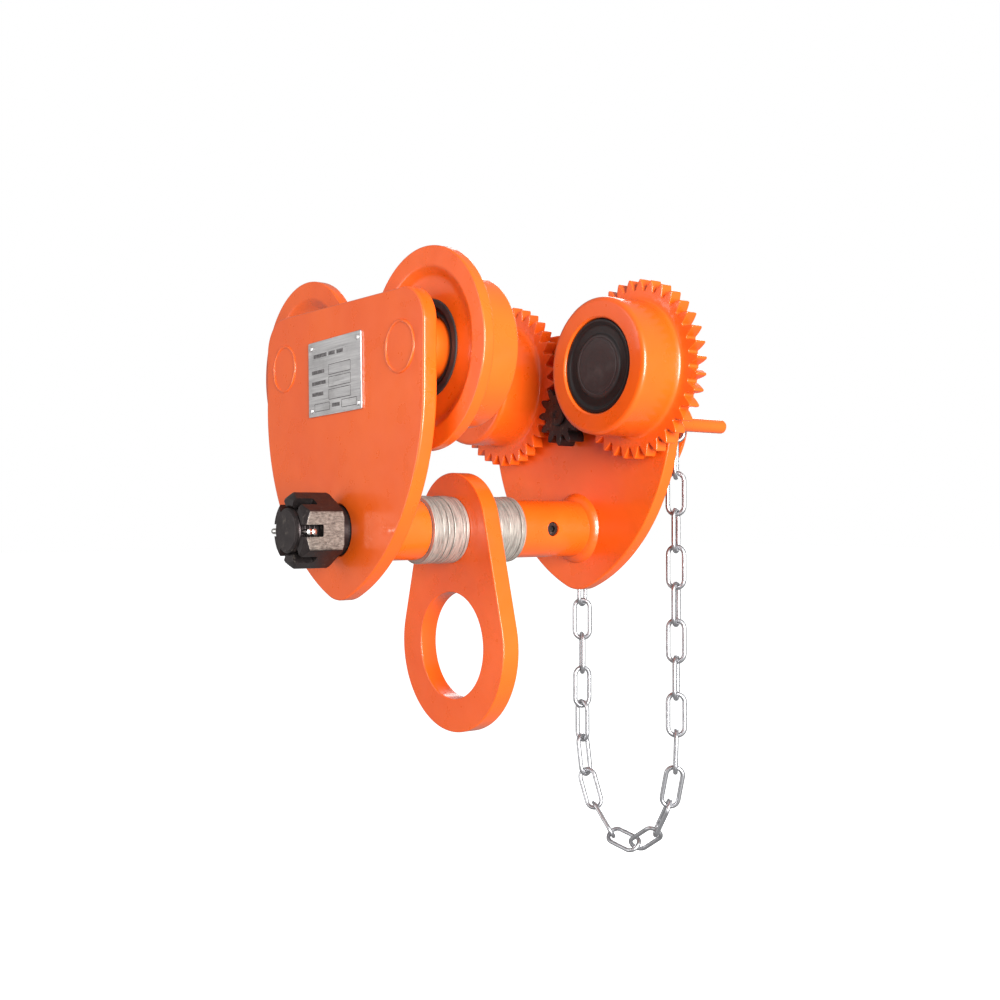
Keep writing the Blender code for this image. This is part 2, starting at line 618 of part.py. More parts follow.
def make_hand_chain_wheel(axis):
    """The rim's groove takes the chain, with ribs on both flanks between the links' pockets."""
    steps = 24
    stations = []
    bm = bmesh.new()
    for i in range(steps):
        rib = i % 2 == 0
        profile = chain_wheel_profile(0.0088 if rib else 0.0102, 0.0094 if rib else 0.0112)
        turn = Matrix.Rotation(2 * math.pi * i / steps, 4, "X")
        stations.append([bm.verts.new(turn @ Vector((CHAIN_X + x, 0, r))) for x, r in profile])
    for i in range(steps):
        a, b = stations[i - 1], stations[i]
        for j in range(len(a)):
            bm.faces.new((a[j - 1], a[j], b[j], b[j - 1]))
    bmesh.ops.triangulate(bm, faces=bm.faces)
    wheel = new_object("hand_chain_wheel", finished_mesh("hand_chain_wheel", bm), ORANGE, 0.35,
                       parent=axis)
    keyway = cutter("keyway", box_mesh("keyway", (0.050, 0.0056, 0.0060)),
                    (CHAIN_X, 0, DRIVE_Z + 0.0088))
    combine(wheel, keyway)


def make_drive(axis):
    make_pinion_shaft(axis)
    make_hand_chain_wheel(axis)
    new_object("chain_wheel_key", box_mesh("chain_wheel_key", (0.018, 0.005, 0.0058)), STEEL, 0.4,
               1.0, (CHAIN_X, 0, 0.0082), axis)
    nut_x = HUB_X[1] + GAP
    nut = plate_mesh("chain_wheel_nut", circle(0.0127, 6), [circle(0.0072, 16)], nut_x,
                     nut_x + 0.0085)
    new_object("chain_wheel_nut", nut, ZINC, 0.35, 1.0, parent=axis)


def make_drive_bearing():
    """A flanged bush in a housing that is welded to the outside of the right side plate."""
    inner, outer = inner_x(1), PLATE_OUTER_X[1]
    end = HUB_X[0] - 0.003
    bore = DRIVE_SHAFT_RADIUS + 0.0003
    bush = [(inner - 0.0024, bore), (end, bore), (end, 0.0136), (inner - GAP, 0.0136),
            (inner - GAP, 0.0175), (inner - 0.0024, 0.0175)]
    new_object("drive_bush", turned_mesh("drive_bush", bush, 20), (0.55, 0.33, 0.10), 0.35, 1.0,
               (0, 0, DRIVE_Z))
    housing = [(outer + GAP, 0.0140), (end, 0.0140), (end, 0.0230), (outer + 0.0065, 0.0230),
               (outer + 0.0030, 0.0270), (outer + GAP, 0.0285)]
    new_object("drive_bearing_housing", turned_mesh("drive_bearing_housing", housing, 20), ORANGE,
               0.35, location=(0, 0, DRIVE_Z))


def make_guide_rod(name, end):
    """A rod welded to the right side plate, which keeps the chain in its groove."""
    start, stop, radius = PLATE_OUTER_X[1] + GAP, GUIDE_ROD_END_X, GUIDE_ROD_RADIUS
    profile = [(start, 0), (start, radius + 0.003), (start + 0.003, radius),
               (stop - 0.002, radius), (stop - 0.0005, radius * 0.7), (stop, 0)]
    new_object(name, turned_mesh(name, profile, 14, closed=False), ORANGE, 0.35,
               location=(0, end * GUIDE_ROD_Y, GUIDE_ROD_Z))


# ---------------------------------------------------------------- hand chain


def chain_route():
    """Fine points of the closed route: down one side, around the bottom, up and over the wheel."""
    fine = 240
    bottom = [Vector((-CHAIN_RADIUS * math.cos(t), -CHAIN_BOTTOM_DEPTH * math.sin(t)))
              for t in (math.pi * i / fine for i in range(fine + 1))]
    around = sum((b - a).length for a, b in zip(bottom, bottom[1:]))
    free = (CHAIN_LINKS * CHAIN_PITCH - math.pi * CHAIN_RADIUS - around) / 2
    over = [Vector((CHAIN_RADIUS * math.cos(t), CHAIN_RADIUS * math.sin(t)))
            for t in (math.pi * i / fine for i in range(fine + 1))]
    return ([Vector((-CHAIN_RADIUS, 0))] + [point - Vector((0, free)) for point in bottom] + over)


def along(route, distance):
    """The point at that distance along the closed route."""
    lengths = [(b - a).length for a, b in zip(route, route[1:])]
    distance %= sum(lengths)
    for a, b, length in zip(route, route[1:], lengths):
        if distance <= length:
            return a.lerp(b, distance / length if length else 0)
        distance -= length
    return route[-1]


def add_link(bm, start, end, tilt):
    """One link between two joints, turned by the tilt about its length, of square wire on edge."""
    centre = (start + end) / 2
    forward = (end - start).normalized()
    radial = Vector((0, -forward.z, forward.y))
    across = radial * math.cos(tilt) + Vector((1, 0, 0)) * math.sin(tilt)
    out_of_plane = forward.cross(across)
    bend = (CHAIN_LINK_WIDTH - CHAIN_WIRE) / 2
    reach = (CHAIN_LINK_LENGTH - CHAIN_WIRE) / 2 - bend
    half_wire = CHAIN_WIRE / 2 + 0.00035
    rings = []
    for sign in (1, -1):
        for i in range(3):
            angle = math.pi * i / 2
            outward = sign * (forward * math.sin(angle) + across * math.cos(angle))
            place = centre + sign * forward * reach + outward * bend
            rings.append([bm.verts.new(place + half_wire * offset)
                          for offset in (outward, out_of_plane, -outward, -out_of_plane)])
    for i, ring in enumerate(rings):
        before = rings[i - 1]
        for j in range(4):
            bm.faces.new((before[j - 1], before[j], ring[j], ring[j - 1]))


def chain_twist(distance):
    """Half a turn of twist from the bottom up the rear strand, and a slight one down the front."""
    below_wheel = CHAIN_LINKS * CHAIN_PITCH - math.pi * CHAIN_RADIUS - distance
    twist = math.pi * min(1, max(0, below_wheel - 0.010) / CHAIN_TWIST_LENGTH)
    if 0 < distance < CHAIN_SWAY_LENGTH:
        twist += CHAIN_SWAY * math.sin(math.pi * distance / CHAIN_SWAY_LENGTH)
    return twist


def make_hand_chain():
    """An endless chain whose links sit at 45 degrees to the wheel, each way in turn."""
    route = chain_route()
    joints = []
    for i in range(CHAIN_LINKS):
        y, z = along(route, i * CHAIN_PITCH + CHAIN_PHASE)
        joints.append(Vector((CHAIN_X, y, DRIVE_Z + z)))
    halves = []
    for parity in (0, 1):
        bm = bmesh.new()
        for i in range(parity, CHAIN_LINKS, 2):
            tilt = math.radians(90 * parity - 45) + chain_twist((i + 0.5) * CHAIN_PITCH + CHAIN_PHASE)
            add_link(bm, joints[i], joints[(i + 1) % CHAIN_LINKS], tilt)
        halves.append(finished_mesh(f"links_{parity}", bm))
    chain = new_object("hand_chain", halves[0], (0.75, 0.75, 0.76), 0.25, 1.0)
    combine(chain, cutter("other_links", halves[1]), "UNION")


# ---------------------------------------------------------------- assembly


def main():
    for old in list(bpy.data.objects):
        bpy.data.objects.remove(old)
    make_side_plate("side_plate_left", -1)
    make_side_plate("side_plate_right", 1, drive_hole_radius=0.0140)
    make_nameplate()
    for end_name, end in ENDS.items():
        make_wheel(f"plain_wheel_{end_name}", -1, end)
        make_wheel(f"geared_wheel_{end_name}", 1, end)
    make_sleeve("sleeve_left", -1)
    make_sleeve_screw(make_sleeve("sleeve_right", 1))
    make_load_shaft()
    make_castle_nut()
    make_cotter_pin()
    make_spacer_washers("left", -1)
    make_spacer_washers("right", 1)
    make_hanger_plate()
    drive_axis = axis_empty("drive_axis", 0, DRIVE_Z)
    make_drive(drive_axis)
    make_drive_bearing()
    for end_name, end in ENDS.items():
        make_guide_rod(f"chain_guide_rod_{end_name}", end)
    make_hand_chain()


main()
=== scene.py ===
"""Looks of the geared beam trolley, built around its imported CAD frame.

Metres, in the frame of the CAD: +X across the beam from the plain wheels to the geared ones, +Y along
the beam, +Z up. Each finely shaped piece stands for a CAD node and rides on that node's body.
"""

import json
import math

import bmesh
import bpy
from mathutils import Matrix, Vector


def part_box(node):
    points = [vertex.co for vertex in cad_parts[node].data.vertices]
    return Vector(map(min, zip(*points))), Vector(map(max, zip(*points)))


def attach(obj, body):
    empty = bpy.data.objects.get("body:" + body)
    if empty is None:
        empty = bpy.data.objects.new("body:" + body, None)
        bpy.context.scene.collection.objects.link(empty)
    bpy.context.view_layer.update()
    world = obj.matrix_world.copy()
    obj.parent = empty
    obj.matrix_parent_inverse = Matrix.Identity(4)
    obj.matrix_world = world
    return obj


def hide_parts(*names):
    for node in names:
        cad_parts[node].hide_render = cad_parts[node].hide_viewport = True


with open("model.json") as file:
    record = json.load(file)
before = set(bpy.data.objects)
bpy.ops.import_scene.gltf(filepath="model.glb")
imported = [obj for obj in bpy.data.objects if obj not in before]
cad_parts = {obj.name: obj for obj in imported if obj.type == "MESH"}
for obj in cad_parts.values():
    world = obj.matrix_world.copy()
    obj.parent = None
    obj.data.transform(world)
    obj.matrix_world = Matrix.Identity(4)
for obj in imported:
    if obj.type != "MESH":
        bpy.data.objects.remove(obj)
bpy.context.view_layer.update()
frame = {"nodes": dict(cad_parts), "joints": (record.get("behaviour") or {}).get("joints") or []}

JOINTS = {joint["name"]: joint for joint in frame["joints"]}
PLATE_X = {side: [corner.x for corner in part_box(f"side_plate_{name}")]
           for name, side in (("left", -1), ("right", 1))}
OUTER_X = {-1: PLATE_X[-1][0], 1: PLATE_X[1][1]}
INNER_X = {-1: PLATE_X[-1][1], 1: PLATE_X[1][0]}
WHEEL_Y = abs(JOINTS["plain_wheel_front_spin"]["pos_m"][1])
WHEEL_Z = JOINTS["plain_wheel_front_spin"]["pos_m"][2]
SHAFT_Z = JOINTS["hanger_swing"]["pos_m"][2]
DRIVE_Z = JOINTS["drive_spin"]["pos_m"][2]
ENDS = {"front": -1, "rear": 1}
SIDES = {"left": -1, "right": 1}

TREAD_RADIUS = WHEEL_Z
PLUG_RADIUS = 0.0187
AXLE_SHOULDER_RADIUS = 0.024
BORE_RADIUS = 0.0399
LIP_RADIUS = 0.034
LIP_DEPTH = 0.0243
SHAFT_RADIUS = 0.020
SLEEVE_RADIUS = 0.0253
SLEEVE_LENGTH = {-1: 0.062, 1: 0.080}
WASHER_RADIUS = 0.0285
DRIVE_SHAFT_RADIUS = 0.010
GAP = 0.0003
ON_SHAFT = (0, 0, SHAFT_Z)
ON_DRIVE = (0, 0, DRIVE_Z)

PLATE_CORNER_RADIUS = 0.028
PLATE_FLANK_RADIUS = 0.170
PLATE_NOSE_RADIUS = 0.040
PLATE_SHOULDER_Z = 0.0262
BEARING_WIDTH = 0.0207
BORE_CLIP_DEPTH = LIP_DEPTH + BEARING_WIDTH + GAP
LOOSE_BORE_RADIUS = SHAFT_RADIUS + 0.0007
SCREW_X = 0.072
NUT_ACROSS_FLATS = 0.052
NUT_SLOT_FLOOR_X = -0.1570
NUT_SLOT_WIDTH = 0.0094
WORN_AND_LIT_FLAT_NORMAL_Y = -0.97
WORN_AND_LIT_FLAT_Y = -0.024
THREAD_END_X = -0.1400
SHOULDER_START_X = -0.1387
COTTER_X = -0.1665

MODULE = 0.004
PRESSURE_ANGLE = math.radians(25)
WHEEL_TEETH = 36
PINION_TEETH = 12
WHEEL_TIP_RADIUS = 0.0764
BACKLASH = 0.0004

CHAIN_X = 0.184
CHAIN_RADIUS = 0.0643
CHAIN_PITCH = 0.0333
CHAIN_WIRE = 0.0042
CHAIN_LINK_LENGTH = 0.0420
CHAIN_LINK_WIDTH = 0.0192
CHAIN_LINKS = 32
CHAIN_BOTTOM_DEPTH = 0.100
CHAIN_PHASE = -0.012
CHAIN_TWIST_LENGTH = 0.383
CHAIN_SWAY_LENGTH = 0.300
CHAIN_SWAY = math.radians(18)

ORANGE = (0.84, 0.116, 0.006)
DEEP_ORANGE = (0.78, 0.092, 0.005)


# --- materials


class Shader:
    """A material's node tree, built around its Principled BSDF."""

    def __init__(self, name, slot, **sockets):
        self.material = bpy.data.materials.new(name)
        self.material.use_nodes = True
        self.material["slot"] = slot
        self.tree = self.material.node_tree
        self.surface = self.tree.nodes["Principled BSDF"]
        self.feed(self.surface, **sockets)
        self.normal = None
        self.place = self.add("TexCoord").outputs["Object"]

    def fill(self, socket, value):
        """Sets an input, or links it when the value is another node's output."""
        if isinstance(value, bpy.types.NodeSocket):
            self.tree.links.new(value, socket)
        else:
            socket.default_value = value

    def feed(self, node, **sockets):
        for name, value in sockets.items():
            self.fill(node.inputs[name.replace("_", " ")], value)

    def add(self, kind, **sockets):
        node = self.tree.nodes.new("ShaderNode" + kind)
        self.feed(node, **sockets)
        return node

    def noise(self, scale, detail=3.0, roughness=0.55, place=None):
        node = self.add("TexNoise", Vector=place or self.place, Scale=scale, Detail=detail,
                        Roughness=roughness)
        return node.outputs["Fac"]

    def stretched(self, x, y, z):
        """The object's coordinates, with each axis scaled."""
        node = self.add("Mapping", Vector=self.place, Scale=(x, y, z))
        return node.outputs["Vector"]

    def radius(self):
        """Distance from the object's X axis."""
        parts = self.add("SeparateXYZ", Vector=self.place).outputs
        return self.maths("SQRT", self.maths("ADD", self.maths("MULTIPLY", parts["Y"], parts["Y"]),
                                             self.maths("MULTIPLY", parts["Z"], parts["Z"])))

    def turned(self, along, out, around):
        """Coordinates that follow a turned piece: along its X axis, outwards, and around it."""
        parts = self.add("SeparateXYZ", Vector=self.place).outputs
        angle = self.maths("ARCTAN2", parts["Z"], parts["Y"])
        joined = self.add("CombineXYZ", X=self.maths("MULTIPLY", parts["X"], along),
                          Y=self.maths("MULTIPLY", self.radius(), out),
                          Z=self.maths("MULTIPLY", self.maths("SINE", angle), around))
        return joined.outputs["Vector"]

    def maths(self, operation, a, b=0.0):
        node = self.tree.nodes.new("ShaderNodeMath")
        node.operation = operation
        for socket, value in zip(node.inputs, (a, b)):
            self.fill(socket, value)
        return node.outputs[0]

    def spread(self, value, low, high, to_low=0.0, to_high=1.0):
        """Maps a range of values onto another, and stops at its ends."""
        node = self.add("MapRange", Value=value, From_Min=low, From_Max=high, To_Min=to_low,
                        To_Max=to_high)
        return node.outputs["Result"]

    def mix(self, factor, a, b):
        node = self.tree.nodes.new("ShaderNodeMix")
        node.data_type = "RGBA"
        for index, value in ((0, factor), (6, a), (7, b)):
            self.fill(node.inputs[index], (*value, 1) if isinstance(value, tuple) else value)
        return node.outputs[2]

    def bump(self, height, depth, strength=1.0):
        """Adds relief of that depth in metres, on top of the relief added before."""
        node = self.add("Bump", Height=height, Distance=depth, Strength=strength)
        if self.normal:
            self.feed(node, Normal=self.normal)
        self.normal = node.outputs["Normal"]

    def finish(self, colour, pattern, low, high):
        """Colours the surface. Its roughness follows the pattern between two values."""
        roughness = self.spread(pattern, 0.3, 0.7, low, high)
        self.feed(self.surface, Base_Color=colour, Roughness=roughness)
        if self.normal:
            self.feed(self.surface, Normal=self.normal)
        return self.material


def paint(name, grain, waviness):
    """Glossy orange enamel. Castings show their grain through it, plates only slow waves."""
    shader = Shader(name, "orange_paint", IOR=1.5, Specular_IOR_Level=0.55, Coat_Weight=0.35,
                    Coat_Roughness=0.06, Coat_IOR=1.5)
    clouds = shader.spread(shader.noise(11, 4), 0.35, 0.70)
    specks = shader.spread(shader.noise(950, 2), 0.66, 0.80, 0.0, 0.35)
    colour = shader.mix(specks, shader.mix(clouds, ORANGE, DEEP_ORANGE), (0.45, 0.045, 0.005))
    shader.bump(shader.noise(38, 2), waviness)
    shader.bump(shader.noise(620, 3), grain)
    return shader.finish(colour, shader.noise(55, 4), 0.24, 0.38)


def black_oxide(name, wear):
    """Oiled black steel. Wear shows as brown-grey scuffs."""
    shader = Shader(name, "black_oxide", Metallic=0.85)
    scuffs = shader.noise(260, 6, 0.7, shader.stretched(1, 1.6, 0.8))
    blotches = shader.noise(55, 3)
    worn = shader.spread(shader.maths("ADD", scuffs, shader.maths("MULTIPLY", blotches, 0.35)),
                         0.78 - wear, 0.90 - wear * 0.6)
    shade = shader.mix(shader.noise(130, 3), (0.030, 0.023, 0.024), (0.070, 0.058, 0.056))
    colour = shader.mix(worn, shade, (0.165, 0.140, 0.118))
    shader.bump(scuffs, 0.00008)
    shader.bump(shader.noise(900, 2), 0.00003)
    return shader.finish(colour, scuffs, 0.30, 0.52)


def worn_and_lit_facet():
    """The nut's front flat: scuffed by the spanner down to brown-grey steel, and lighter as a painted
    highlight where it faces the key light.
    """
    shader = Shader("worn_and_lit_facet", "black_oxide", Metallic=0.75)
    scratches = shader.noise(300, 7, 0.75, shader.stretched(1.0, 1.0, 2.2))
    colour = shader.mix(shader.spread(scratches, 0.38, 0.66), (0.075, 0.062, 0.054),
                        (0.26, 0.225, 0.190))
    shader.bump(scratches, 0.00012)
    return shader.finish(colour, scratches, 0.38, 0.6)


def zinc(name, slot, metallic, colour, dark, roughness):
    """Zinc plate over a turned surface, with streaks around it."""
    shader = Shader(name, slot, Metallic=metallic)
    rings = shader.noise(1.0, 5, 0.7, shader.turned(900, 900, 2.5))
    stains = shader.noise(70, 4, 0.6)
    tone = shader.mix(shader.spread(rings, 0.36, 0.60), dark, colour)
    tone = shader.mix(shader.spread(stains, 0.52, 0.75, 0.0, 0.35), tone, dark)
    shader.bump(rings, 0.00010)
    return shader.finish(tone, stains, roughness, roughness + 0.16)


def bright_zinc():
    shader = Shader("bright_zinc", "bright_zinc", Metallic=1.0)
    patches = shader.noise(160, 4, 0.6)
    colour = shader.mix(shader.spread(patches, 0.40, 0.70), (0.58, 0.58, 0.60), (0.40, 0.40, 0.41))
    shader.bump(shader.noise(300, 2), 0.00001)
    return shader.finish(colour, patches, 0.34, 0.48)


def turned_metal(name, fineness, around, dark, light, depth, roughness):
    """Bare metal with fine rings from its turning."""
    shader = Shader(name, name, Metallic=1.0)
    rings = shader.noise(1.0, 4, 0.6, shader.turned(fineness, fineness, around))
    shader.bump(rings, depth)
    return shader.finish(shader.mix(rings, dark, light), rings, *roughness)


def dark_cap():
    """A pressed cap in satin black-brown, with faint rings from its turning, light dust, and painted
    shade that darkens its dished ring and rim.
    """
    shader = Shader("dark_cap", "dark_cap", IOR=1.5, Specular_IOR_Level=0.5)
    rings = shader.noise(1.0, 5, 0.6, shader.turned(300, 650, 1.2))
    dust = shader.noise(85, 5, 0.65)
    colour = shader.mix(rings, (0.022, 0.015, 0.015), (0.044, 0.033, 0.033))
    colour = shader.mix(shader.spread(dust, 0.50, 0.78, 0.0, 0.45), colour, (0.095, 0.075, 0.070))
    # Painted shade: outside the boss, the dished ring and the rim are made near black.
    colour = shader.mix(shader.spread(shader.radius(), 0.0250, 0.0268), colour, (0.008, 0.006, 0.006))
    shader.bump(rings, 0.00006)
    shader.bump(shader.noise(800, 2), 0.00003)
    return shader.finish(colour, dust, 0.30, 0.50)


def seal_rubber():
    shader = Shader("seal_rubber", "seal_rubber", IOR=1.5)
    dust = shader.noise(120, 4)
    colour = shader.mix(dust, (0.010, 0.009, 0.009), (0.036, 0.030, 0.029))
    shader.bump(shader.noise(1100, 3), 0.00005)
    return shader.finish(colour, dust, 0.42, 0.62)


def nameplate_metal():
    """Brushed along the plate's length, with darker handling marks."""
    shader = Shader("nameplate_metal", "nameplate_metal", Metallic=0.9)
    brushing = shader.noise(1.0, 5, 0.7, shader.stretched(800, 28, 1500))
    marks = shader.noise(48, 4, 0.6)
    colour = shader.mix(shader.spread(brushing, 0.3, 0.7), (0.56, 0.54, 0.54), (0.80, 0.78, 0.77))
    colour = shader.mix(shader.spread(marks, 0.50, 0.75, 0.0, 0.4), colour, (0.34, 0.32, 0.31))
    shader.bump(brushing, 0.00003)
    return shader.finish(colour, brushing, 0.26, 0.42)


def nameplate_ink():
    shader = Shader("nameplate_ink", "nameplate_metal", IOR=1.45)
    fading = shader.noise(420, 3, 0.6)
    colour = shader.mix(shader.spread(fading, 0.40, 0.75), (0.060, 0.055, 0.055), (0.24, 0.22, 0.22))
    shader.bump(fading, 0.00002)
    return shader.finish(colour, fading, 0.4, 0.55)


MATERIALS = {
    "plate_paint": paint("plate_paint", 0.000012, 0.00022),
    "cast_paint": paint("cast_paint", 0.000045, 0.00030),
    "weld_paint": paint("weld_paint", 0.000060, 0.00050),
    "black_oxide": black_oxide("black_oxide", 0.0),
    "oily_gear": black_oxide("oily_gear", 0.02),
    "worn_and_lit_facet": worn_and_lit_facet(),
    "washer_zinc": zinc("washer_zinc", "zinc", 0.55, (0.54, 0.50, 0.44), (0.24, 0.21, 0.185), 0.38),
    "fastener_zinc": zinc("fastener_zinc", "zinc", 1.0, (0.74, 0.73, 0.70), (0.46, 0.44, 0.41), 0.20),
    "bright_zinc": bright_zinc(),
    "bearing_steel": turned_metal("bearing_steel", 1400, 1.5, (0.46, 0.46, 0.47), (0.64, 0.64, 0.65),
                                  0.00003, (0.18, 0.30)),
    "dark_cap": dark_cap(),
    "seal_rubber": seal_rubber(),
    "nameplate_metal": nameplate_metal(),
    "nameplate_ink": nameplate_ink(),
    "bronze": turned_metal("bronze", 700, 2, (0.38, 0.22, 0.08), (0.60, 0.39, 0.16), 0.00006,
                           (0.24, 0.40)),
}


# --- shapes


def mesh_from(bm, name):
    """Turns a bmesh into a clean mesh, and frees it."""
    bmesh.ops.remove_doubles(bm, verts=bm.verts, dist=1e-7)
    bmesh.ops.recalc_face_normals(bm, faces=bm.faces)
    mesh = bpy.data.meshes.new(name)
    bm.to_mesh(mesh)
    bm.free()
    return mesh


def add_object(name, data, location=(0, 0, 0)):
    made = bpy.data.objects.new(name, data)
    made.location = location
    bpy.context.scene.collection.objects.link(made)
    return made


def piece(name, shape, material, body, replaces=(), location=(0, 0, 0), tilt=(0, 0, 0)):
    """Makes one shaded object from a bmesh or a mesh, which rides on a body.

    It may stand for CAD nodes. Where it has several materials, the first gives its slot.
    """
    mesh = shape if isinstance(shape, bpy.types.Mesh) else mesh_from(shape, name)
    mesh.shade_smooth()
    mesh.set_sharp_from_angle(angle=math.radians(38))
    names = [material] if isinstance(material, str) else material
    mesh.materials.clear()
    for key in names:
        mesh.materials.append(MATERIALS[key])
    made = add_object(name, mesh, location)
    made.rotation_euler = tilt
    flats = made.modifiers.new("flat_faces_stay_flat", "WEIGHTED_NORMAL")
    flats.keep_sharp = True
    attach(made, body)
    if replaces:
        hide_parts(*replaces)


def stand_in(node, shape, material, body, location=(0, 0, 0), tilt=(0, 0, 0)):
    """Makes the finely shaped piece that stands for one CAD node."""
    piece(f"{node}_fine", shape, material, body, [node], location, tilt)


def rounded(points, reach=0.0005, closed=True, steps=3):
    """Replaces an outline's corners by small curves. A point's third value is its own reach."""
    result = []
    for i, (u, v, *own) in enumerate(points):
        cut = own[0] if own else reach
        if not cut or (not closed and i in (0, len(points) - 1)):
            result.append((u, v))
            continue
        here = Vector((u, v))
        before = Vector(points[i - 1][:2]) - here
        after = Vector(points[(i + 1) % len(points)][:2]) - here
        first = here + before * min(0.45, cut / before.length)
        last = here + after * min(0.45, cut / after.length)
        for step in range(steps + 1):
            t = step / steps
            result.append(tuple(first.lerp(here, t).lerp(here.lerp(last, t), t)))
    return result


def turn(bm, profile, steps=96, closed=True):
    """Turns (x, radius) points about the X axis, and returns the new vertices.

    The profile may be a function of the angle.
    """
    rings = []
    for i in range(steps):
        angle = 2 * math.pi * i / steps
        points = profile(angle) if callable(profile) else profile
        rings.append([bm.verts.new((x, r * math.cos(angle), r * math.sin(angle)))
                      for x, r in points])
    count = len(rings[0])
    for i in range(steps):
        a, b = rings[i - 1], rings[i]
        for j in range(count if closed else count - 1):
            k = (j + 1) % count
            bm.faces.new((a[j], a[k], b[k], b[j]))
    return sum(rings, [])


def turned(profile, steps=96, closed=True):
    bm = bmesh.new()
    turn(bm, profile, steps, closed)
    return bm


def circle(radius, count, y=0.0, z=0.0, start=0.0):
    step = 2 * math.pi / count
    return [(y + radius * math.cos(start + step * i), z + radius * math.sin(start + step * i))
            for i in range(count)]


def arc(y, z, radius, first, last, steps):
    """Points along an arc, with its angles in degrees from +Y towards +Z."""
    angles = [math.radians(first + (last - first) * i / steps) for i in range(steps + 1)]
    return [(y + radius * math.cos(a), z + radius * math.sin(a)) for a in angles]


def inset(loop, distance):
    """Moves a closed loop of (y, z) points inwards, or outwards by a negative distance."""
    area = sum(a[0] * b[1] - b[0] * a[1] for a, b in zip(loop, loop[1:] + loop[:1]))
    side = distance if area > 0 else -distance
    moved = []
    for i, point in enumerate(loop):
        here = Vector(point)
        first = (here - Vector(loop[i - 1])).normalized()
        second = (Vector(loop[(i + 1) % len(loop)]) - here).normalized()
        normal = Vector((-first.y - second.y, first.x + second.x)).normalized()
        stretch = 1 / max(0.5, normal.dot(Vector((-first.y, first.x))))
        moved.append(tuple(here + normal * side * stretch))
    return moved


def wall(bm, loop, x0, x1, edge, direction=1, steps=3):
    """An extruded outline's wall with rounded edges. Returns the edges of its two end loops.

    The direction is 1 for an outer wall and -1 for a hole's.
    """
    away = math.copysign(1, x1 - x0)
    levels = []
    for step in range(steps + 1):
        angle = math.pi / 2 * step / steps
        levels.append((edge * (1 - math.sin(angle)), edge * (1 - math.cos(angle))))
    places = [(shrink, x0 + away * depth) for shrink, depth in levels]
    places += [(shrink, x1 - away * depth) for shrink, depth in reversed(levels)]
    rings = [[bm.verts.new((x, y, z)) for y, z in inset(loop, direction * shrink)]
             for shrink, x in places]
    for a, b in zip(rings, rings[1:]):
        for i in range(len(a)):
            bm.faces.new((a[i - 1], a[i], b[i], b[i - 1]))
    return [[bm.edges.get((ring[i - 1], ring[i])) for i in range(len(ring))]
            for ring in (rings[0], rings[-1])]


def rim(bm, x):
    """The open edges that lie at that x."""
    return [edge for edge in bm.edges if edge.is_boundary
            and all(abs(vert.co.x - x) < 1e-6 for vert in edge.verts)]


def plate(outline, holes, x0, x1, edge=0.001):
    """A flat plate in the YZ plane with rounded edges, also around its holes."""
    bm = bmesh.new()
    walls = [wall(bm, outline, x0, x1, edge)]
    walls += [wall(bm, hole, x0, x1, edge, direction=-1) for hole in holes]
    for end in (0, 1):
        edges = [edge for pair in walls for edge in pair[end]]
        bmesh.ops.triangle_fill(bm, edges=edges, use_beauty=True)
    return bm


def tube(bm, path, radius, normal, sides=12, closed=False):
    """Round wire along a flat path. The normal is the direction square to the path's plane."""
    rings = []
    for i, point in enumerate(path):
        if closed:
            along = path[(i + 1) % len(path)] - path[i - 1]
        else:
            along = path[min(i + 1, len(path) - 1)] - path[max(i - 1, 0)]
        side = along.normalized().cross(normal)
        turns = [2 * math.pi * j / sides for j in range(sides)]
        rings.append([bm.verts.new(point + radius * (math.cos(t) * side + math.sin(t) * normal))
                      for t in turns])
    for i in range(0 if closed else 1, len(rings)):
        a, b = rings[i - 1], rings[i]
        for j in range(sides):
            bm.faces.new((a[j - 1], a[j], b[j], b[j - 1]))
    if not closed:
        for ring, past in ((rings[0], path[0] - path[1]), (rings[-1], path[-1] - path[-2])):
            centre = sum((vert.co for vert in ring), Vector()) / sides
            tip = bm.verts.new(centre + past.normalized() * radius * 0.45)
            for j in range(sides):
                bm.faces.new((ring[j - 1], ring[j], tip))


def add_box(bm, size, centre):
    bmesh.ops.create_cube(bm, size=1, matrix=Matrix.Translation(centre) @ Matrix.Diagonal((*size, 1)))


def carved(bm, *cutters):
    """The solid in bm minus the solids in the cutters, as a mesh."""
    objects = [add_object("carving", mesh_from(part, "carving")) for part in (bm, *cutters)]
    for body in objects[1:]:
        cut = objects[0].modifiers.new("cut", "BOOLEAN")
        cut.object = body
        cut.solver = "EXACT"
    evaluated = objects[0].evaluated_get(bpy.context.evaluated_depsgraph_get())
    mesh = bpy.data.meshes.new_from_object(evaluated)
    for made in objects:
        bpy.data.objects.remove(made)
    return mesh


def inward(side, profile):
    """Changes depths, measured inwards from the side plate's inner face, into x."""
    return [(INNER_X[side] - side * depth, *rest) for depth, *rest in profile]


def weld(name, x, direction, y, z, radius, size):
    """A smooth fillet weld around a round foot, with slight swells and ripples."""
    ripple_length = 0.0042
    count = round(2 * math.pi * radius / ripple_length)

    def profile(angle):
        ripple = 0.5 + 0.5 * math.cos(count * angle + 2.1 * math.sin(3 * angle))
        swell = 1 + 0.06 * math.sin(2 * angle + x * 90) + 0.04 * math.sin(5 * angle + 1)
        leg = size * swell * (0.99 + 0.01 * ripple)
        points = [(0, radius - 0.0004), (0, radius + leg)]
        for step in range(1, 6):
            t = step / 6
            bulge = leg * 0.10 * math.sin(math.pi * t) * (0.97 + 0.06 * ripple)
            points.append((leg * t + bulge, radius + leg * (1 - t) + bulge))
        points += [(leg, radius), (leg, radius - 0.0004)]
        return [(x + direction * u, r) for u, r in points]

    piece(name, turned(profile, steps=4 * count), "weld_paint", "frame", location=(0, y, z))


# --- gear teeth


def involute(angle):
    return math.tan(angle) - angle


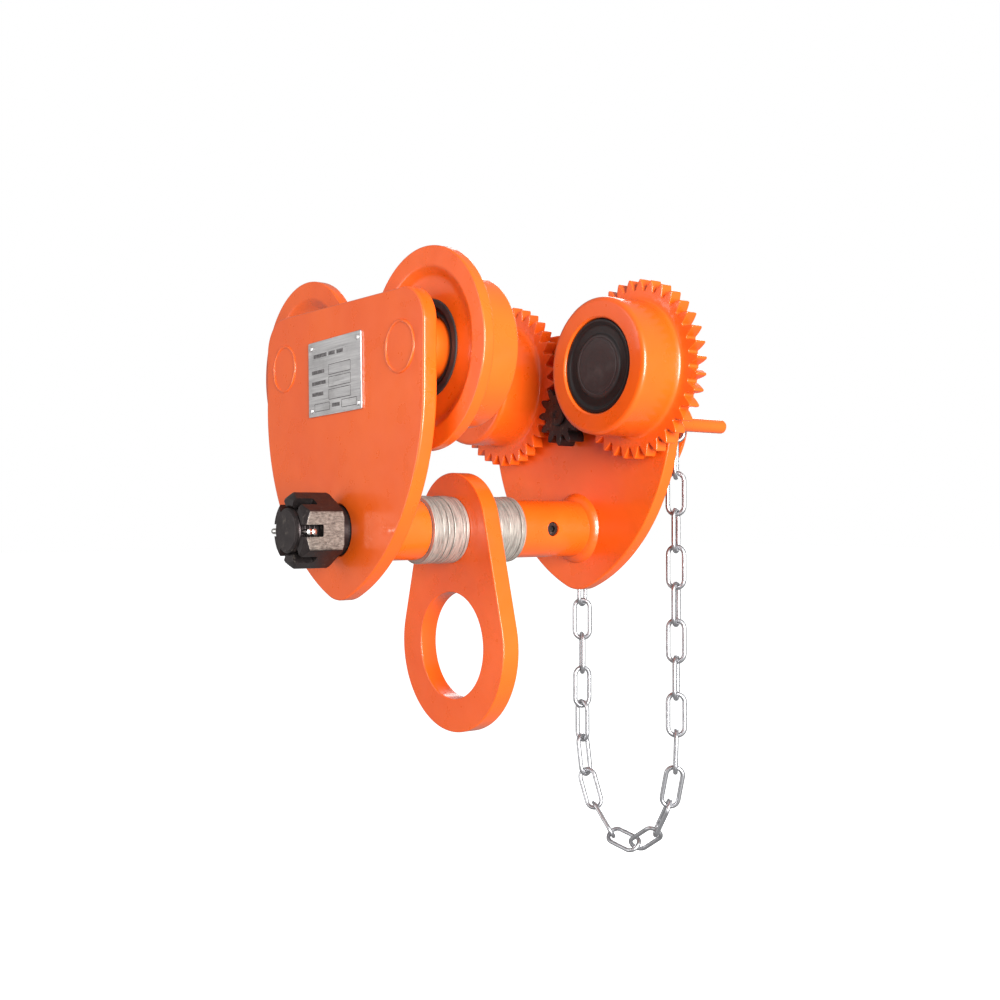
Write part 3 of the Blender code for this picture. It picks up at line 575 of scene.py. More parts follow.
def gear_outline(teeth, tip_radius, phase, flank_steps=4):
    """One point loop around a gear, with soft tips and roots. A tooth is centred on the phase."""
    pitch_radius = MODULE * teeth / 2
    base_radius = pitch_radius * math.cos(PRESSURE_ANGLE)
    root_radius = pitch_radius - 1.25 * MODULE
    half_tooth = math.pi / 2 / teeth - BACKLASH / 4 / pitch_radius + involute(PRESSURE_ANGLE)
    start = max(base_radius, root_radius)
    flank = []
    for step in range(flank_steps + 1):
        radius = start + (tip_radius - start) * step / flank_steps
        turned_by = half_tooth - involute(math.acos(min(1, base_radius / radius)))
        flank.append((radius, turned_by, 0))
    if base_radius > root_radius:
        flank.insert(0, (root_radius, flank[0][1] + 0.08 * math.pi / teeth, 0))
    root_rounding, tip_rounding = 0.0011, 0.0008
    flank[0] = (*flank[0][:2], root_rounding)
    flank[-1] = (*flank[-1][:2], tip_rounding)
    outline = []
    for tooth in range(teeth):
        centre = phase + 2 * math.pi * tooth / teeth
        sides = [(r, centre - t, c) for r, t, c in flank]
        sides += [(r, centre + t, c) for r, t, c in reversed(flank)]
        outline += [(r * math.cos(a), r * math.sin(a), c) for r, a, c in sides]
    return rounded(outline)


def wheel_gear_phase(end):
    """Turns the wheel's teeth so that they mesh with a pinion tooth at phase 0."""
    line = math.atan2(WHEEL_Z - DRIVE_Z, end * WHEEL_Y)
    past_tooth = math.fmod(line, 2 * math.pi / PINION_TEETH)
    space = line + math.pi + past_tooth * PINION_TEETH / WHEEL_TEETH
    return space + math.pi / WHEEL_TEETH


def toothed(bm, outline, x0, x1, edge):
    """Closes the gap between two rims of a turned body with a toothed disc."""
    wall(bm, outline, x0, x1, edge)
    for x in (x0, x1):
        bmesh.ops.triangle_fill(bm, edges=rim(bm, x), use_beauty=True)


# --- side plates


def side_plate_outline():
    """Straight top with round corners, flanks in a wide arc and a round nose below."""
    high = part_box("side_plate_left")[1]
    corner, flank, nose = PLATE_CORNER_RADIUS, PLATE_FLANK_RADIUS, PLATE_NOSE_RADIUS
    flank_y = high.y - flank
    drop = math.sqrt((flank - nose) ** 2 - flank_y**2)
    tangent = math.degrees(math.atan2(drop, -flank_y))
    half = arc(high.y - corner, high.z - corner, corner, 90, 0, 14)
    half += arc(flank_y, PLATE_SHOULDER_Z, flank, 0, -tangent, 34)
    half += arc(0, PLATE_SHOULDER_Z - drop, nose, -tangent, -90, 20)[1:]
    return half + [(-y, z) for y, z in reversed(half[:-1])]


def make_side_plates():
    """Both plates, with holes for the axles and the shaft. The right one also has the bush's."""
    drive_hole = circle(0.0140, 56, 0, DRIVE_Z)
    for name, side in SIDES.items():
        holes = [circle(PLUG_RADIUS + GAP, 72, end * WHEEL_Y, WHEEL_Z) for end in ENDS.values()]
        holes.append(circle(SHAFT_RADIUS + 2 * GAP, 72, 0, SHAFT_Z))
        if side > 0:
            holes.append(drive_hole)
        shape = plate(side_plate_outline(), holes, OUTER_X[side], INNER_X[side], 0.0016)
        stand_in(f"side_plate_{name}", shape, "plate_paint", "frame")


def make_nameplate():
    """A riveted plate with plain boxes and bars in place of any marking."""
    width, height, thickness = 0.083, 0.061, 0.0011
    x = OUTER_X[-1] - GAP - thickness / 2
    centre, tilt = (x, 0.0035, 0.0445), (math.radians(-1.5), 0, 0)
    corners = ((-1, -1), (1, -1), (1, 1), (-1, 1))
    outline = rounded([(y * width / 2, z * height / 2, 0.0012) for y, z in corners])
    shape = plate(outline, [], -thickness / 2, thickness / 2, 0.00025)
    stand_in("nameplate", shape, "nameplate_metal", "frame", centre, tilt)
    make_nameplate_rivets(width, height, thickness, centre, tilt)
    make_nameplate_boxes(width, height, thickness, centre, tilt)


def make_nameplate_rivets(width, height, thickness, centre, tilt):
    inset_by = 0.005
    head = rounded([(0.0001, 0), (0.0001, 0.0023), (-0.0007, 0.0021), (-0.0010, 0.0011), (-0.0010, 0)],
                   0.0004, closed=False)
    rivets = bmesh.new()
    for y in (-1, 1):
        for z in (-1, 1):
            made = turn(rivets, [(u - thickness / 2, r) for u, r in head], 24, closed=False)
            place = (0, y * (width / 2 - inset_by), z * (height / 2 - inset_by))
            bmesh.ops.translate(rivets, verts=made, vec=place)
    piece("nameplate_rivets", rivets, "nameplate_metal", "frame", [], centre, tilt)


def make_nameplate_boxes(width, height, thickness, centre, tilt):
    """Bars as (left, right, middle) and boxes as (left, right, top, bottom), from the top left."""
    ink = bmesh.new()
    face, depth, line, bar = -thickness / 2 - 0.00004, 0.00012, 0.00055, 0.0030
    for left, right, middle in ((0.009, 0.030, 0.012), (0.033, 0.043, 0.012), (0.046, 0.056, 0.012),
                                (0.006, 0.026, 0.025), (0.006, 0.028, 0.034), (0.006, 0.024, 0.043),
                                (0.038, 0.050, 0.054)):
        add_box(ink, (depth, right - left, bar),
                (face, width / 2 - (left + right) / 2, height / 2 - middle))
    for left, right, top, bottom in ((0.033, 0.067, 0.021, 0.029), (0.033, 0.067, 0.031, 0.039),
                                     (0.033, 0.067, 0.041, 0.049), (0.010, 0.034, 0.051, 0.057),
                                     (0.053, 0.076, 0.051, 0.057)):
        for edge in (left, right):
            add_box(ink, (depth, line, bottom - top),
                    (face, width / 2 - edge, height / 2 - (top + bottom) / 2))
        for edge in (top, bottom):
            add_box(ink, (depth, right - left, line),
                    (face, width / 2 - (left + right) / 2, height / 2 - edge))
    piece("nameplate_boxes", ink, "nameplate_ink", "frame", [], centre, tilt)


# --- wheels


def bore_profile(mouth):
    """The bore from the tread's face inwards, with a circlip groove and the bearing's lip."""
    clip, groove, wide = BORE_CLIP_DEPTH, BORE_CLIP_DEPTH + 0.0016, BORE_RADIUS + 0.0012
    return [(mouth, wide, 0.0003), (mouth - 0.0012, BORE_RADIUS, 0.0003),
            (groove, BORE_RADIUS, 0), (groove, wide, 0), (clip, wide, 0), (clip, BORE_RADIUS, 0),
            (LIP_DEPTH, BORE_RADIUS, 0), (LIP_DEPTH, LIP_RADIUS)]


def plain_wheel(name, y):
    """A flange beside the side plate, with a dished face, and the tread beyond it."""
    face, flange_end, mouth, flange = 0.009, 0.018, 0.055, 0.0766
    profile = [(face + 0.005, LIP_RADIUS), (face + 0.005, 0.0535, 0.003), (face, 0.0618, 0.0015),
               (face, flange, 0.0012), (flange_end, flange, 0.0014),
               (flange_end, TREAD_RADIUS + 0.0026, 0.0012), (flange_end + 0.0026, TREAD_RADIUS, 0.0015),
               (mouth, TREAD_RADIUS, 0.0022)]
    shape = turned(rounded(inward(-1, profile + bore_profile(mouth)), 0.0006), 144)
    stand_in(name, shape, "cast_paint", name, (0, y, WHEEL_Z))


def geared_wheel(name, y, end):
    """Teeth beside the side plate, and a tread whose far edge is broadly rounded."""
    back, front, mouth = 0.0037, 0.0152, 0.0563
    profile = [(front, TREAD_RADIUS + 0.0040), (front + 0.0012, TREAD_RADIUS + 0.0012, 0.0008),
               (front + 0.0040, TREAD_RADIUS, 0.0015), (mouth, TREAD_RADIUS, 0.0044)]
    profile += bore_profile(mouth) + [(back, LIP_RADIUS)]
    bm = bmesh.new()
    turn(bm, rounded(inward(1, profile), 0.0006, closed=False), 144, closed=False)
    outline = gear_outline(WHEEL_TEETH, WHEEL_TIP_RADIUS, wheel_gear_phase(end))
    toothed(bm, outline, INNER_X[1] - front, INNER_X[1] - back, 0.0008)
    stand_in(name, bm, "cast_paint", name, (0, y, WHEEL_Z))


def make_axle(name, side, y):
    """A stub axle whose outer end shows as a ring on the side plate's outer face."""
    outer = abs(OUTER_X[side] - INNER_X[side])
    shoulder, seat, groove = AXLE_SHOULDER_RADIUS, 0.0175, BORE_CLIP_DEPTH + GAP
    profile = [(-outer - 0.0001, 0), (-outer - 0.0001, PLUG_RADIUS, 0.0007), (GAP, PLUG_RADIUS, 0),
               (GAP, shoulder), (LIP_DEPTH, shoulder, 0.0008), (LIP_DEPTH, seat, 0.0004),
               (groove, seat, 0), (groove, seat - 0.0015, 0), (groove + 0.002, seat - 0.0015, 0),
               (groove + 0.002, seat, 0), (0.0488, seat, 0.0010), (0.0488, 0)]
    shape = turned(rounded(inward(side, profile), 0.0004, closed=False), 64, closed=False)
    stand_in(f"{name}_axle", shape, "plate_paint", "frame", (0, y, WHEEL_Z))
    make_plug_ring(f"{name}_axle_ring", side, y)
    weld(f"{name}_axle_weld", INNER_X[side], -side, y, WHEEL_Z, shoulder, 0.0032)


def make_plug_ring(name, side, y):
    """The weld around the axle's outer end, ground down to a low uneven ridge under the paint."""
    face, middle = OUTER_X[side], PLUG_RADIUS + GAP / 2
    foot = face - side * 0.0004

    def profile(angle):
        height = 0.00080 + 0.00020 * math.sin(3 * angle + y * 40) + 0.00010 * math.sin(7 * angle)
        width = 0.0013 + 0.00015 * math.sin(5 * angle + 2)
        ridge = [(foot, middle - width)]
        for step in range(9):
            turn_by = math.pi * step / 8
            ridge.append((face + side * height * math.sin(turn_by), middle - width * math.cos(turn_by)))
        return ridge + [(foot, middle + width)]

    piece(name, turned(profile, 120), "weld_paint", "frame", location=(0, y, WHEEL_Z))


def make_seal(name, side, y, face):
    """A rubber ring with a lip for the axle's shoulder and a low cover over the wheel's face."""
    inner, outer, cover = AXLE_SHOULDER_RADIUS + 0.0008, LIP_RADIUS - 0.0004, 0.0378
    profile = [(face + 0.0022, inner), (face + 0.0010, inner + 0.0012), (face + 0.0010, inner + 0.0022),
               (face + 0.0026, inner + 0.0036), (face + 0.0026, outer - 0.0030),
               (face - 0.0014, outer - 0.0016), (face - 0.0014, cover - 0.0010), (face - 0.0002, cover),
               (face - 0.0002, outer), (face + 0.007, outer), (face + 0.007, inner)]
    shape = turned(rounded(inward(side, profile), 0.0006), 72)
    stand_in(f"{name}_seal", shape, "seal_rubber", name, (0, y, WHEEL_Z))


def make_dust_cap(name, side, y, mouth):
    """A pressed cap: rounded rim, dished ring and a flat boss with a turned line."""
    back, edge = 0.0500, BORE_RADIUS - 0.0005
    rim_depth, dish, boss = mouth - 0.0016, mouth - 0.0036, mouth - 0.0020
    profile = [(back, 0), (back, edge, 0.0004), (rim_depth, edge, 0.0014), (rim_depth, 0.0362, 0.0010),
               (dish, 0.0342, 0.0010), (dish, 0.0272, 0.0010), (boss, 0.0256, 0.0009),
               (boss, 0.0238, 0.0003), (boss - 0.0004, 0.0234, 0.0003),
               (boss - 0.0004, 0.0226, 0.0003), (boss, 0.0222, 0.0003), (boss, 0)]
    shape = turned(rounded(inward(side, profile), closed=False), 96, closed=False)
    stand_in(f"{name}_dust_cap", shape, "dark_cap", name, (0, y, WHEEL_Z))


def make_bore_circlip(name, side, y):
    """An open ring in the bore's groove, which holds the bearing."""
    first, last, inner = 100, 440, 0.0362
    outline = arc(0, 0, BORE_RADIUS + 0.0009, first, last, 48)
    outline += arc(0, 0, inner, last, first, 48)
    x = INNER_X[side] - side * (BORE_CLIP_DEPTH + 0.0001)
    shape = plate(outline, [], x, x - side * 0.0014, 0.0002)
    piece(f"{name}_bore_circlip", shape, "bearing_steel", name, [], (0, y, WHEEL_Z))


def make_wheels():
    for end_name, end in ENDS.items():
        y = end * WHEEL_Y
        plain, geared = f"plain_wheel_{end_name}", f"geared_wheel_{end_name}"
        plain_wheel(plain, y)
        geared_wheel(geared, y, end)
        for name, side, face, mouth in ((plain, -1, 0.0140, 0.055), (geared, 1, 0.0037, 0.0563)):
            make_axle(name, side, y)
            make_seal(name, side, y, face)
            make_dust_cap(name, side, y, mouth)
            make_bore_circlip(name, side, y)


# --- load shaft


def make_sleeves():
    """Tubes welded to the side plates. The right one has a hole for its locking screw."""
    foot, bore = 0.0006, SHAFT_RADIUS + 0.0004
    for name, side in SIDES.items():
        length = SLEEVE_LENGTH[side]
        profile = [(length, bore, 0.0004), (foot, bore), (foot, SLEEVE_RADIUS, 0),
                   (length, SLEEVE_RADIUS, 0.0011)]
        bm = turned(rounded(inward(side, profile), 0.0003), 96)
        cutters = []
        if side > 0:
            hole = turned([(0.012, 0), (0.012, 0.0063), (0.030, 0.0063), (0.030, 0)], 48, closed=False)
            bmesh.ops.rotate(hole, verts=hole.verts, matrix=Matrix.Rotation(-math.pi / 2, 3, "Z"))
            bmesh.ops.translate(hole, verts=hole.verts, vec=(SCREW_X, 0, 0))
            cutters.append(hole)
        stand_in(f"sleeve_{name}", carved(bm, *cutters), "plate_paint", "frame", ON_SHAFT)
        weld(f"sleeve_{name}_weld", INNER_X[side], -side, 0, SHAFT_Z, SLEEVE_RADIUS, 0.0062)


def make_sleeve_screw():
    """A socket screw, just below the sleeve's surface."""
    tip, top, radius = SHAFT_RADIUS + GAP, 0.0240, 0.0059
    body = turned(rounded([(tip, 0), (tip, radius), (top, radius, 0.0009), (top, 0)], 0.0003,
                          closed=False), 48, closed=False)
    socket = bmesh.new()
    for edges in wall(socket, circle(0.0031, 6), top - 0.0028, 0.030, 0.0001):
        bmesh.ops.triangle_fill(socket, edges=edges, use_beauty=True)
    stand_in("sleeve_screw", carved(body, socket), "black_oxide", "frame", (SCREW_X, 0, SHAFT_Z),
             (0, 0, -math.pi / 2))


def thread(x0, x1, radius, pitch, depth):
    """A profile function of the angle, whose crests climb one pitch in each turn."""
    samples = round((x1 - x0) / pitch * 8)

    def profile(angle):
        points = []
        for i in range(samples + 1):
            x = x0 + (x1 - x0) * i / samples
            wave = abs((x / pitch - angle / 2 / math.pi) % 1 - 0.5) * 2
            fade = min(1, (x - x0) / pitch, (x1 - x) / pitch)
            points.append((x, radius - depth * min(1, max(0, wave * 1.4 - 0.2)) * max(0.15, fade)))
        return points

    return profile


def make_load_shaft():
    """A shaft with a threaded end for the castle nut and a plain end at the right."""
    left, right = (corner.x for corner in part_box("load_shaft"))
    threads = thread(left + 0.0015, THREAD_END_X, 0.0176, 0.004, 0.0017)
    start = rounded([(left, 0), (left, 0.0160, 0.0004), (left + 0.0014, 0.0174, 0.0004)], closed=False)
    end = rounded([(SHOULDER_START_X, 0.0172), (SHOULDER_START_X, SHAFT_RADIUS, 0.0005),
                   (right, SHAFT_RADIUS, 0.0018), (right, 0)], closed=False)
    shape = turned(lambda angle: start + threads(angle) + end, 72, closed=False)
    stand_in("load_shaft", shape, "black_oxide", "frame", ON_SHAFT)


def nut_blank(x0, x1, across, bore, crown, foot, count=180):
    """A hexagon nut's blank: flats cut into a body whose two ends are chamfered.

    Crown and foot are (chamfer radius, chamfer depth) at x0 and x1. Corners point up and down.
    """
    apothem, corner = across / 2, across * 0.5775
    crown_radius, crown_depth = crown
    foot_radius, foot_depth = foot

    def hexagon(angle):
        nearest = round(angle / (math.pi / 3)) * math.pi / 3
        exact = apothem / math.cos(angle - nearest)
        return exact - 0.55 * max(0, exact - apothem * 1.135)

    steps, middle, unlimited = 8, 6, 1.0
    stations = [(x0 + crown_depth * i / steps, crown_radius + (corner - crown_radius) * i / steps)
                for i in range(steps + 1)]
    stations += [(x0 + crown_depth + (x1 - foot_depth - x0 - crown_depth) * i / middle, unlimited)
                 for i in range(1, middle)]
    stations += [(x1 - foot_depth + foot_depth * i / steps, corner + (foot_radius - corner) * i / steps)
                 for i in range(steps + 1)]

    def profile(angle):
        outside = [(x, min(hexagon(angle), limit)) for x, limit in stations]
        return ([(x0, bore + 0.0012), (x0, bore + 0.0018)] + outside
                + [(x1, bore + 0.0012), (x1 - 0.0012, bore), (x0 + 0.0012, bore)])

    return turned(profile, count)


def make_castle_nut():
    """Six slots run in from the crown, one through each flat's middle. The flat facing the key light
    gets a lighter, scuffed finish: wear plus a painted highlight.
    """
    x0, x1 = (corner.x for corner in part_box("castle_nut"))
    half_slot, reach, past_crown = NUT_SLOT_WIDTH / 2, 0.040, x0 - 0.004
    slot = rounded([(past_crown, -half_slot), (NUT_SLOT_FLOOR_X, -half_slot, 0.0014),
                    (NUT_SLOT_FLOOR_X, half_slot, 0.0014), (past_crown, half_slot)], 0, steps=4)
    cutters = []
    for i in range(3):
        cutter = bmesh.new()
        rings = [[cutter.verts.new((x, y, z)) for x, z in slot] for y in (-reach, reach)]
        for j in range(len(slot)):
            cutter.faces.new((rings[0][j - 1], rings[0][j], rings[1][j], rings[1][j - 1]))
        for ring in rings:
            cutter.faces.new(ring)
        bmesh.ops.rotate(cutter, verts=cutter.verts, matrix=Matrix.Rotation(i * math.pi / 3, 3, "X"))
        cutters.append(cutter)
    blank = nut_blank(x0, x1, NUT_ACROSS_FLATS, 0.0182, (0.0244, 0.0044), (0.0285, 0.0014))
    mesh = carved(blank, *cutters)
    stand_in("castle_nut", mesh, ("black_oxide", "worn_and_lit_facet"), "frame", ON_SHAFT)
    # Painted highlight: the flat that faces the key light (-Y) takes the lighter, scuffed material.
    for face in mesh.polygons:
        if face.normal.y < WORN_AND_LIT_FLAT_NORMAL_Y and face.center.y < WORN_AND_LIT_FLAT_Y:
            face.material_index = 1


def make_cotter_pin():
    """Wire folded at its eye. The two legs lie side by side and are flat where they meet."""
    wire, eye_radius, eye_start, drop = 0.0023, 0.0046, 0.0225, 0.0008
    apart = wire - 0.0003
    leg = [(y / 1000, apart) for y in (-25, -20, -10, 0, 10, 20)] + [(eye_start, apart)]
    turns = [math.radians(40 + 14 * i) for i in range(21)]
    eye = [(eye_start + eye_radius * (1 - math.cos(a)), eye_radius * math.sin(a)) for a in turns]
    folded = leg + eye + [(y, -x) for y, x in reversed(leg)]
    bm = bmesh.new()
    tube(bm, [Vector((COTTER_X + x, y, -drop)) for y, x in folded], wire, Vector((0, 0, 1)), 24)
    for vert in bm.verts:
        if vert.co.y < eye_start - 0.001:
            side = 1 if vert.co.x > COTTER_X else -1
            vert.co.x = COTTER_X + side * max(abs(vert.co.x - COTTER_X), 0.00004)
    stand_in("cotter_pin", bm, "fastener_zinc", "frame", ON_SHAFT)


def make_washers():
    """Loose washers hang on the shaft, each a little lower or to one side.

    The CAD's innermost right spacer stands for two thick and two thin washers.
    """
    stacks = []
    for side_name, count, direction in (("left", 6, 1), ("right", 3, -1)):
        for number in range(1, count + 1):
            node = f"spacer_washer_{side_name}_{number}"
            low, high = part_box(node)
            shares = (9, 9, 3.5, 3.5) if node == "spacer_washer_right_3" else (1,)
            x = low.x if direction > 0 else high.x
            for part, share in enumerate(shares):
                step = direction * (high.x - low.x) * share / sum(shares)
                stacks.append((node, part, x, x + step))
                x += step
    for index, (node, part, x0, x1) in enumerate(stacks):
        start, stop = min(x0, x1) + 0.00008, max(x0, x1) - 0.00008
        radius = WASHER_RADIUS - 0.00025 * (index * 7 % 3)
        chamfer = 0.00045 + 0.00012 * (index % 2)
        profile = [(start, LOOSE_BORE_RADIUS), (start, radius, chamfer), (stop, radius, chamfer),
                   (stop, LOOSE_BORE_RADIUS)]
        sag = (0, 0.00022 * math.sin(index * 2.1), SHAFT_Z - 0.00020 - 0.00012 * (index % 3))
        name = f"{node}_fine" if part == 0 else f"{node}_{part}"
        piece(name, turned(rounded(profile, 0.0003), 112), "washer_zinc", "frame",
              [node] if part == 0 else [], sag)


def make_hanger_plate():
    """Two round lobes joined by straight flanks, with the shaft's hole and the eye."""
    low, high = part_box("hanger_plate")
    top, eye, lobe, drop = 0.048, 0.045, 0.073, 0.098
    slope = math.degrees(math.asin((lobe - top) / drop))
    outline = arc(0, 0, top, slope, 180 - slope, 56)
    outline += arc(0, -drop, lobe, 180 - slope, 360 + slope, 96)
    holes = [circle(LOOSE_BORE_RADIUS, 72), circle(eye, 112, 0, -drop)]
    shape = plate(outline, holes, low.x, high.x, 0.0010)
    stand_in("hanger_plate", shape, "plate_paint", "hanger", ON_SHAFT)


# --- drive


def make_pinion_shaft():
    """Pinion and shaft in one piece: centre hole, teeth, journal, wheel seat and threaded tip."""
    front, back = 0.0990, 0.1172
    end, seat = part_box("pinion_shaft")[1].x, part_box("hand_chain_wheel")
    radius = DRIVE_SHAFT_RADIUS
    bm = bmesh.new()
    boss = [(0.0970, 0), (0.0970, 0.0030, 0.0003), (0.0960, 0.0036, 0.0003), (0.0960, 0.0090, 0.0006),
            (0.0970, radius, 0.0004), (front, radius)]
    turn(bm, rounded(boss, closed=False), 64, closed=False)
    hub0, hub1 = seat[0].x - GAP, seat[1].x
    threads = thread(hub1 + 0.0008, end - 0.0012, 0.0068, 0.0018, 0.0008)
    journal = rounded([(back, radius), (hub0, radius, 0.0006), (hub0, 0.0080, 0.0002),
                       (hub1, 0.0080, 0.0003), (hub1, 0.0066)], closed=False)
    tip = rounded([(end - 0.0011, 0.0064), (end, 0.0056, 0.0003), (end, 0)], closed=False)
    turn(bm, lambda angle: journal + threads(angle) + tip, 64, closed=False)
    toothed(bm, gear_outline(PINION_TEETH, MODULE * (PINION_TEETH / 2 + 1), 0), front, back, 0.0006)
    stand_in("pinion_shaft", bm, "oily_gear", "drive_shaft", ON_DRIVE)


def make_hand_chain_wheel():
    """Pockets in the rim's groove alternate with ribs, which carry the chain's links."""
    half, floor, web, hub, bore, rim_radius, pockets = 0.0130, 0.054, 0.004, 0.017, 0.0084, 0.068, 12
    low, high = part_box("hand_chain_wheel")
    near, far = low.x - CHAIN_X, high.x - CHAIN_X

    def profile(angle):
        open_share = 0.5 - 0.5 * math.cos(pockets * angle)
        open_share = open_share * open_share * (3 - 2 * open_share)
        groove = 0.0088 + 0.0014 * open_share
        pocket = 0.0094 + 0.0018 * open_share
        right = [(half, floor - 0.004, 0.0015), (half, rim_radius, 0.0006),
                 (pocket + 0.0006, rim_radius, 0.0008), (groove, floor + 0.006, 0.0015),
                 (0.0078, floor - 0.0004, 0.0012)]
        left = [(-x, r, cut) for x, r, cut in reversed(right)]
        points = ([(far, bore, 0.0006), (far, hub, 0.0012), (web, hub + 0.002, 0.0015),
                   (web, floor - 0.006, 0.0020)] + right + left
                  + [(-web, floor - 0.006, 0.0020), (-web, hub + 0.002, 0.0015), (near, hub, 0.0008),
                     (near, bore, 0.0004)])
        return [(CHAIN_X + x, r) for x, r in rounded(points)]

    keyway = bmesh.new()
    add_box(keyway, (0.050, 0.0056, 0.0060), (CHAIN_X, 0, 0.0088))
    mesh = carved(turned(profile, 192), keyway)
    stand_in("hand_chain_wheel", mesh, "cast_paint", "drive_shaft", ON_DRIVE)


def make_chain_wheel_nut():
    """A plain hexagon nut, chamfered alike at both ends."""
    low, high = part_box("chain_wheel_nut")
    across, chamfer = 0.0127 * math.sqrt(3), (0.0102, 0.0011)
    blank = nut_blank(low.x, high.x, across, 0.0071, chamfer, chamfer, 120)
    bmesh.ops.rotate(blank, verts=blank.verts, matrix=Matrix.Rotation(math.pi / 6, 3, "X"))
    stand_in("chain_wheel_nut", blank, "fastener_zinc", "drive_shaft", ON_DRIVE)


def make_drive_bearing():
    """A flanged bush in a housing that is welded to the outside of the right side plate."""
    inner, outer, end = INNER_X[1], OUTER_X[1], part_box("drive_bush")[1].x
    bore, sleeve, collar = DRIVE_SHAFT_RADIUS + 0.0003, 0.0136, 0.0175
    bush = [(inner - 0.0024, bore), (end, bore), (end, sleeve), (inner - GAP, sleeve, 0),
            (inner - GAP, collar, 0.0003), (inner - 0.0024, collar, 0.0006)]
    stand_in("drive_bush", turned(rounded(bush), 64), "bronze", "frame", ON_DRIVE)
    inside, outside = 0.0140, 0.0230
    housing = [(outer + GAP, inside), (end, inside, 0.0008), (end, outside, 0.0014),
               (outer + GAP, outside, 0)]
    stand_in("drive_bearing_housing", turned(rounded(housing), 80), "cast_paint", "frame", ON_DRIVE)
    weld("drive_bearing_housing_weld", outer, 1, 0, DRIVE_Z, outside, 0.0052)


def make_guide_rods():
    """A round rod on each side of the chain wheel, welded to the right side plate."""
    radius, away, z = 0.00625, 0.092, 0.0132
    for name, end in ENDS.items():
        node = f"chain_guide_rod_{name}"
        start, stop, y = OUTER_X[1] + GAP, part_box(node)[1].x, end * away
        profile = [(start, 0), (start, radius, 0), (stop, radius, 0.0022), (stop, 0)]
        rod = turned(rounded(profile, closed=False), 48, closed=False)
        stand_in(node, rod, "plate_paint", "frame", (0, y, z))
        weld(f"{node}_weld", OUTER_X[1], 1, y, z, radius, 0.0030)


# --- hand chain


def chain_route():
    """Fine points of the closed route: down one side, around the bottom, up and over the wheel."""
    fine = 240
    turns = [math.pi * i / fine for i in range(fine + 1)]
    bottom = [Vector((-CHAIN_RADIUS * math.cos(t), -CHAIN_BOTTOM_DEPTH * math.sin(t))) for t in turns]
    around = sum((b - a).length for a, b in zip(bottom, bottom[1:]))
    free = (CHAIN_LINKS * CHAIN_PITCH - math.pi * CHAIN_RADIUS - around) / 2
    over = [Vector((CHAIN_RADIUS * math.cos(t), CHAIN_RADIUS * math.sin(t))) for t in turns]
    return [Vector((-CHAIN_RADIUS, 0))] + [point - Vector((0, free)) for point in bottom] + over


def along(route, distance):
    """The point at that distance along the closed route."""
    lengths = [(b - a).length for a, b in zip(route, route[1:])]
    distance %= sum(lengths)
    for a, b, length in zip(route, route[1:], lengths):
        if distance <= length:
            return a.lerp(b, distance / length if length else 0)
        distance -= length
    return route[-1]


def chain_twist(distance):
    """Half a turn of twist from the bottom up the rear strand, and a slight one down the front."""
    below_wheel = CHAIN_LINKS * CHAIN_PITCH - math.pi * CHAIN_RADIUS - distance
    twist = math.pi * min(1, max(0, below_wheel - 0.010) / CHAIN_TWIST_LENGTH)
    if 0 < distance < CHAIN_SWAY_LENGTH:
        twist += CHAIN_SWAY * math.sin(math.pi * distance / CHAIN_SWAY_LENGTH)
    return twist


def add_link(bm, start, end, tilt):
    """One link of round wire between two joints, turned by the tilt about its length."""
    centre = (start + end) / 2
    forward = (end - start).normalized()
    radial = Vector((0, -forward.z, forward.y))
    across = radial * math.cos(tilt) + Vector((1, 0, 0)) * math.sin(tilt)
    bend = (CHAIN_LINK_WIDTH - CHAIN_WIRE) / 2
    reach = (CHAIN_LINK_LENGTH - CHAIN_WIRE) / 2 - bend
    bend_steps = 12
    path = []
    for sign in (1, -1):
        for i in range(bend_steps + 1):
            angle = math.pi * i / bend_steps
            outward = sign * (forward * math.sin(angle) + across * math.cos(angle))
            path.append(centre + sign * forward * reach + outward * bend)
    tube(bm, path, CHAIN_WIRE / 2, forward.cross(across), 14, closed=True)


def make_hand_chain():
    """An endless chain whose links sit at 45 degrees to the wheel, each way in turn."""
    route = chain_route()
    joints = []
    for i in range(CHAIN_LINKS):
        y, z = along(route, i * CHAIN_PITCH + CHAIN_PHASE)
        joints.append(Vector((CHAIN_X, y, DRIVE_Z + z)))
    bm = bmesh.new()
    for i in range(CHAIN_LINKS):
        tilt = math.radians(90 * (i % 2) - 45) + chain_twist((i + 0.5) * CHAIN_PITCH + CHAIN_PHASE)
        add_link(bm, joints[i], joints[(i + 1) % CHAIN_LINKS], tilt)
    stand_in("hand_chain", bm, "bright_zinc", "frame")


# --- kept CAD nodes


def dress_kept_nodes():
    """The sealed inner pieces keep their CAD shape and get a finish."""
    for name, node in frame["nodes"].items():
        in_bearing = "bearing_" in name and "wheel" in name
        if in_bearing or name.endswith("circlip") or name == "chain_wheel_key":
            node.material_slots[0].material = MATERIALS["bearing_steel"]


# --- studio


def floor_material():
    """A pale matt floor with faint clouds and a glow, so that it shows white."""
    colour = (0.97, 0.97, 0.97)
    shader = Shader("floor", "", IOR=1.45, Emission_Color=(*colour, 1), Emission_Strength=0.9)
    shade = shader.mix(shader.noise(3, 2), colour, tuple(value * 0.985 for value in colour))
    return shader.finish(shade, 0.5, 0.8, 0.8)


def make_floor():
    """A bright sweep under the object, which only the camera sees."""
    bm = bmesh.new()
    bmesh.ops.create_grid(bm, x_segments=1, y_segments=1, size=30)
    mesh = bpy.data.meshes.new("floor")
    bm.to_mesh(mesh)
    bm.free()
    mesh.materials.append(floor_material())
    floor = add_object("floor", mesh, (0, 0, -0.95))
    floor.visible_diffuse = floor.visible_glossy = False


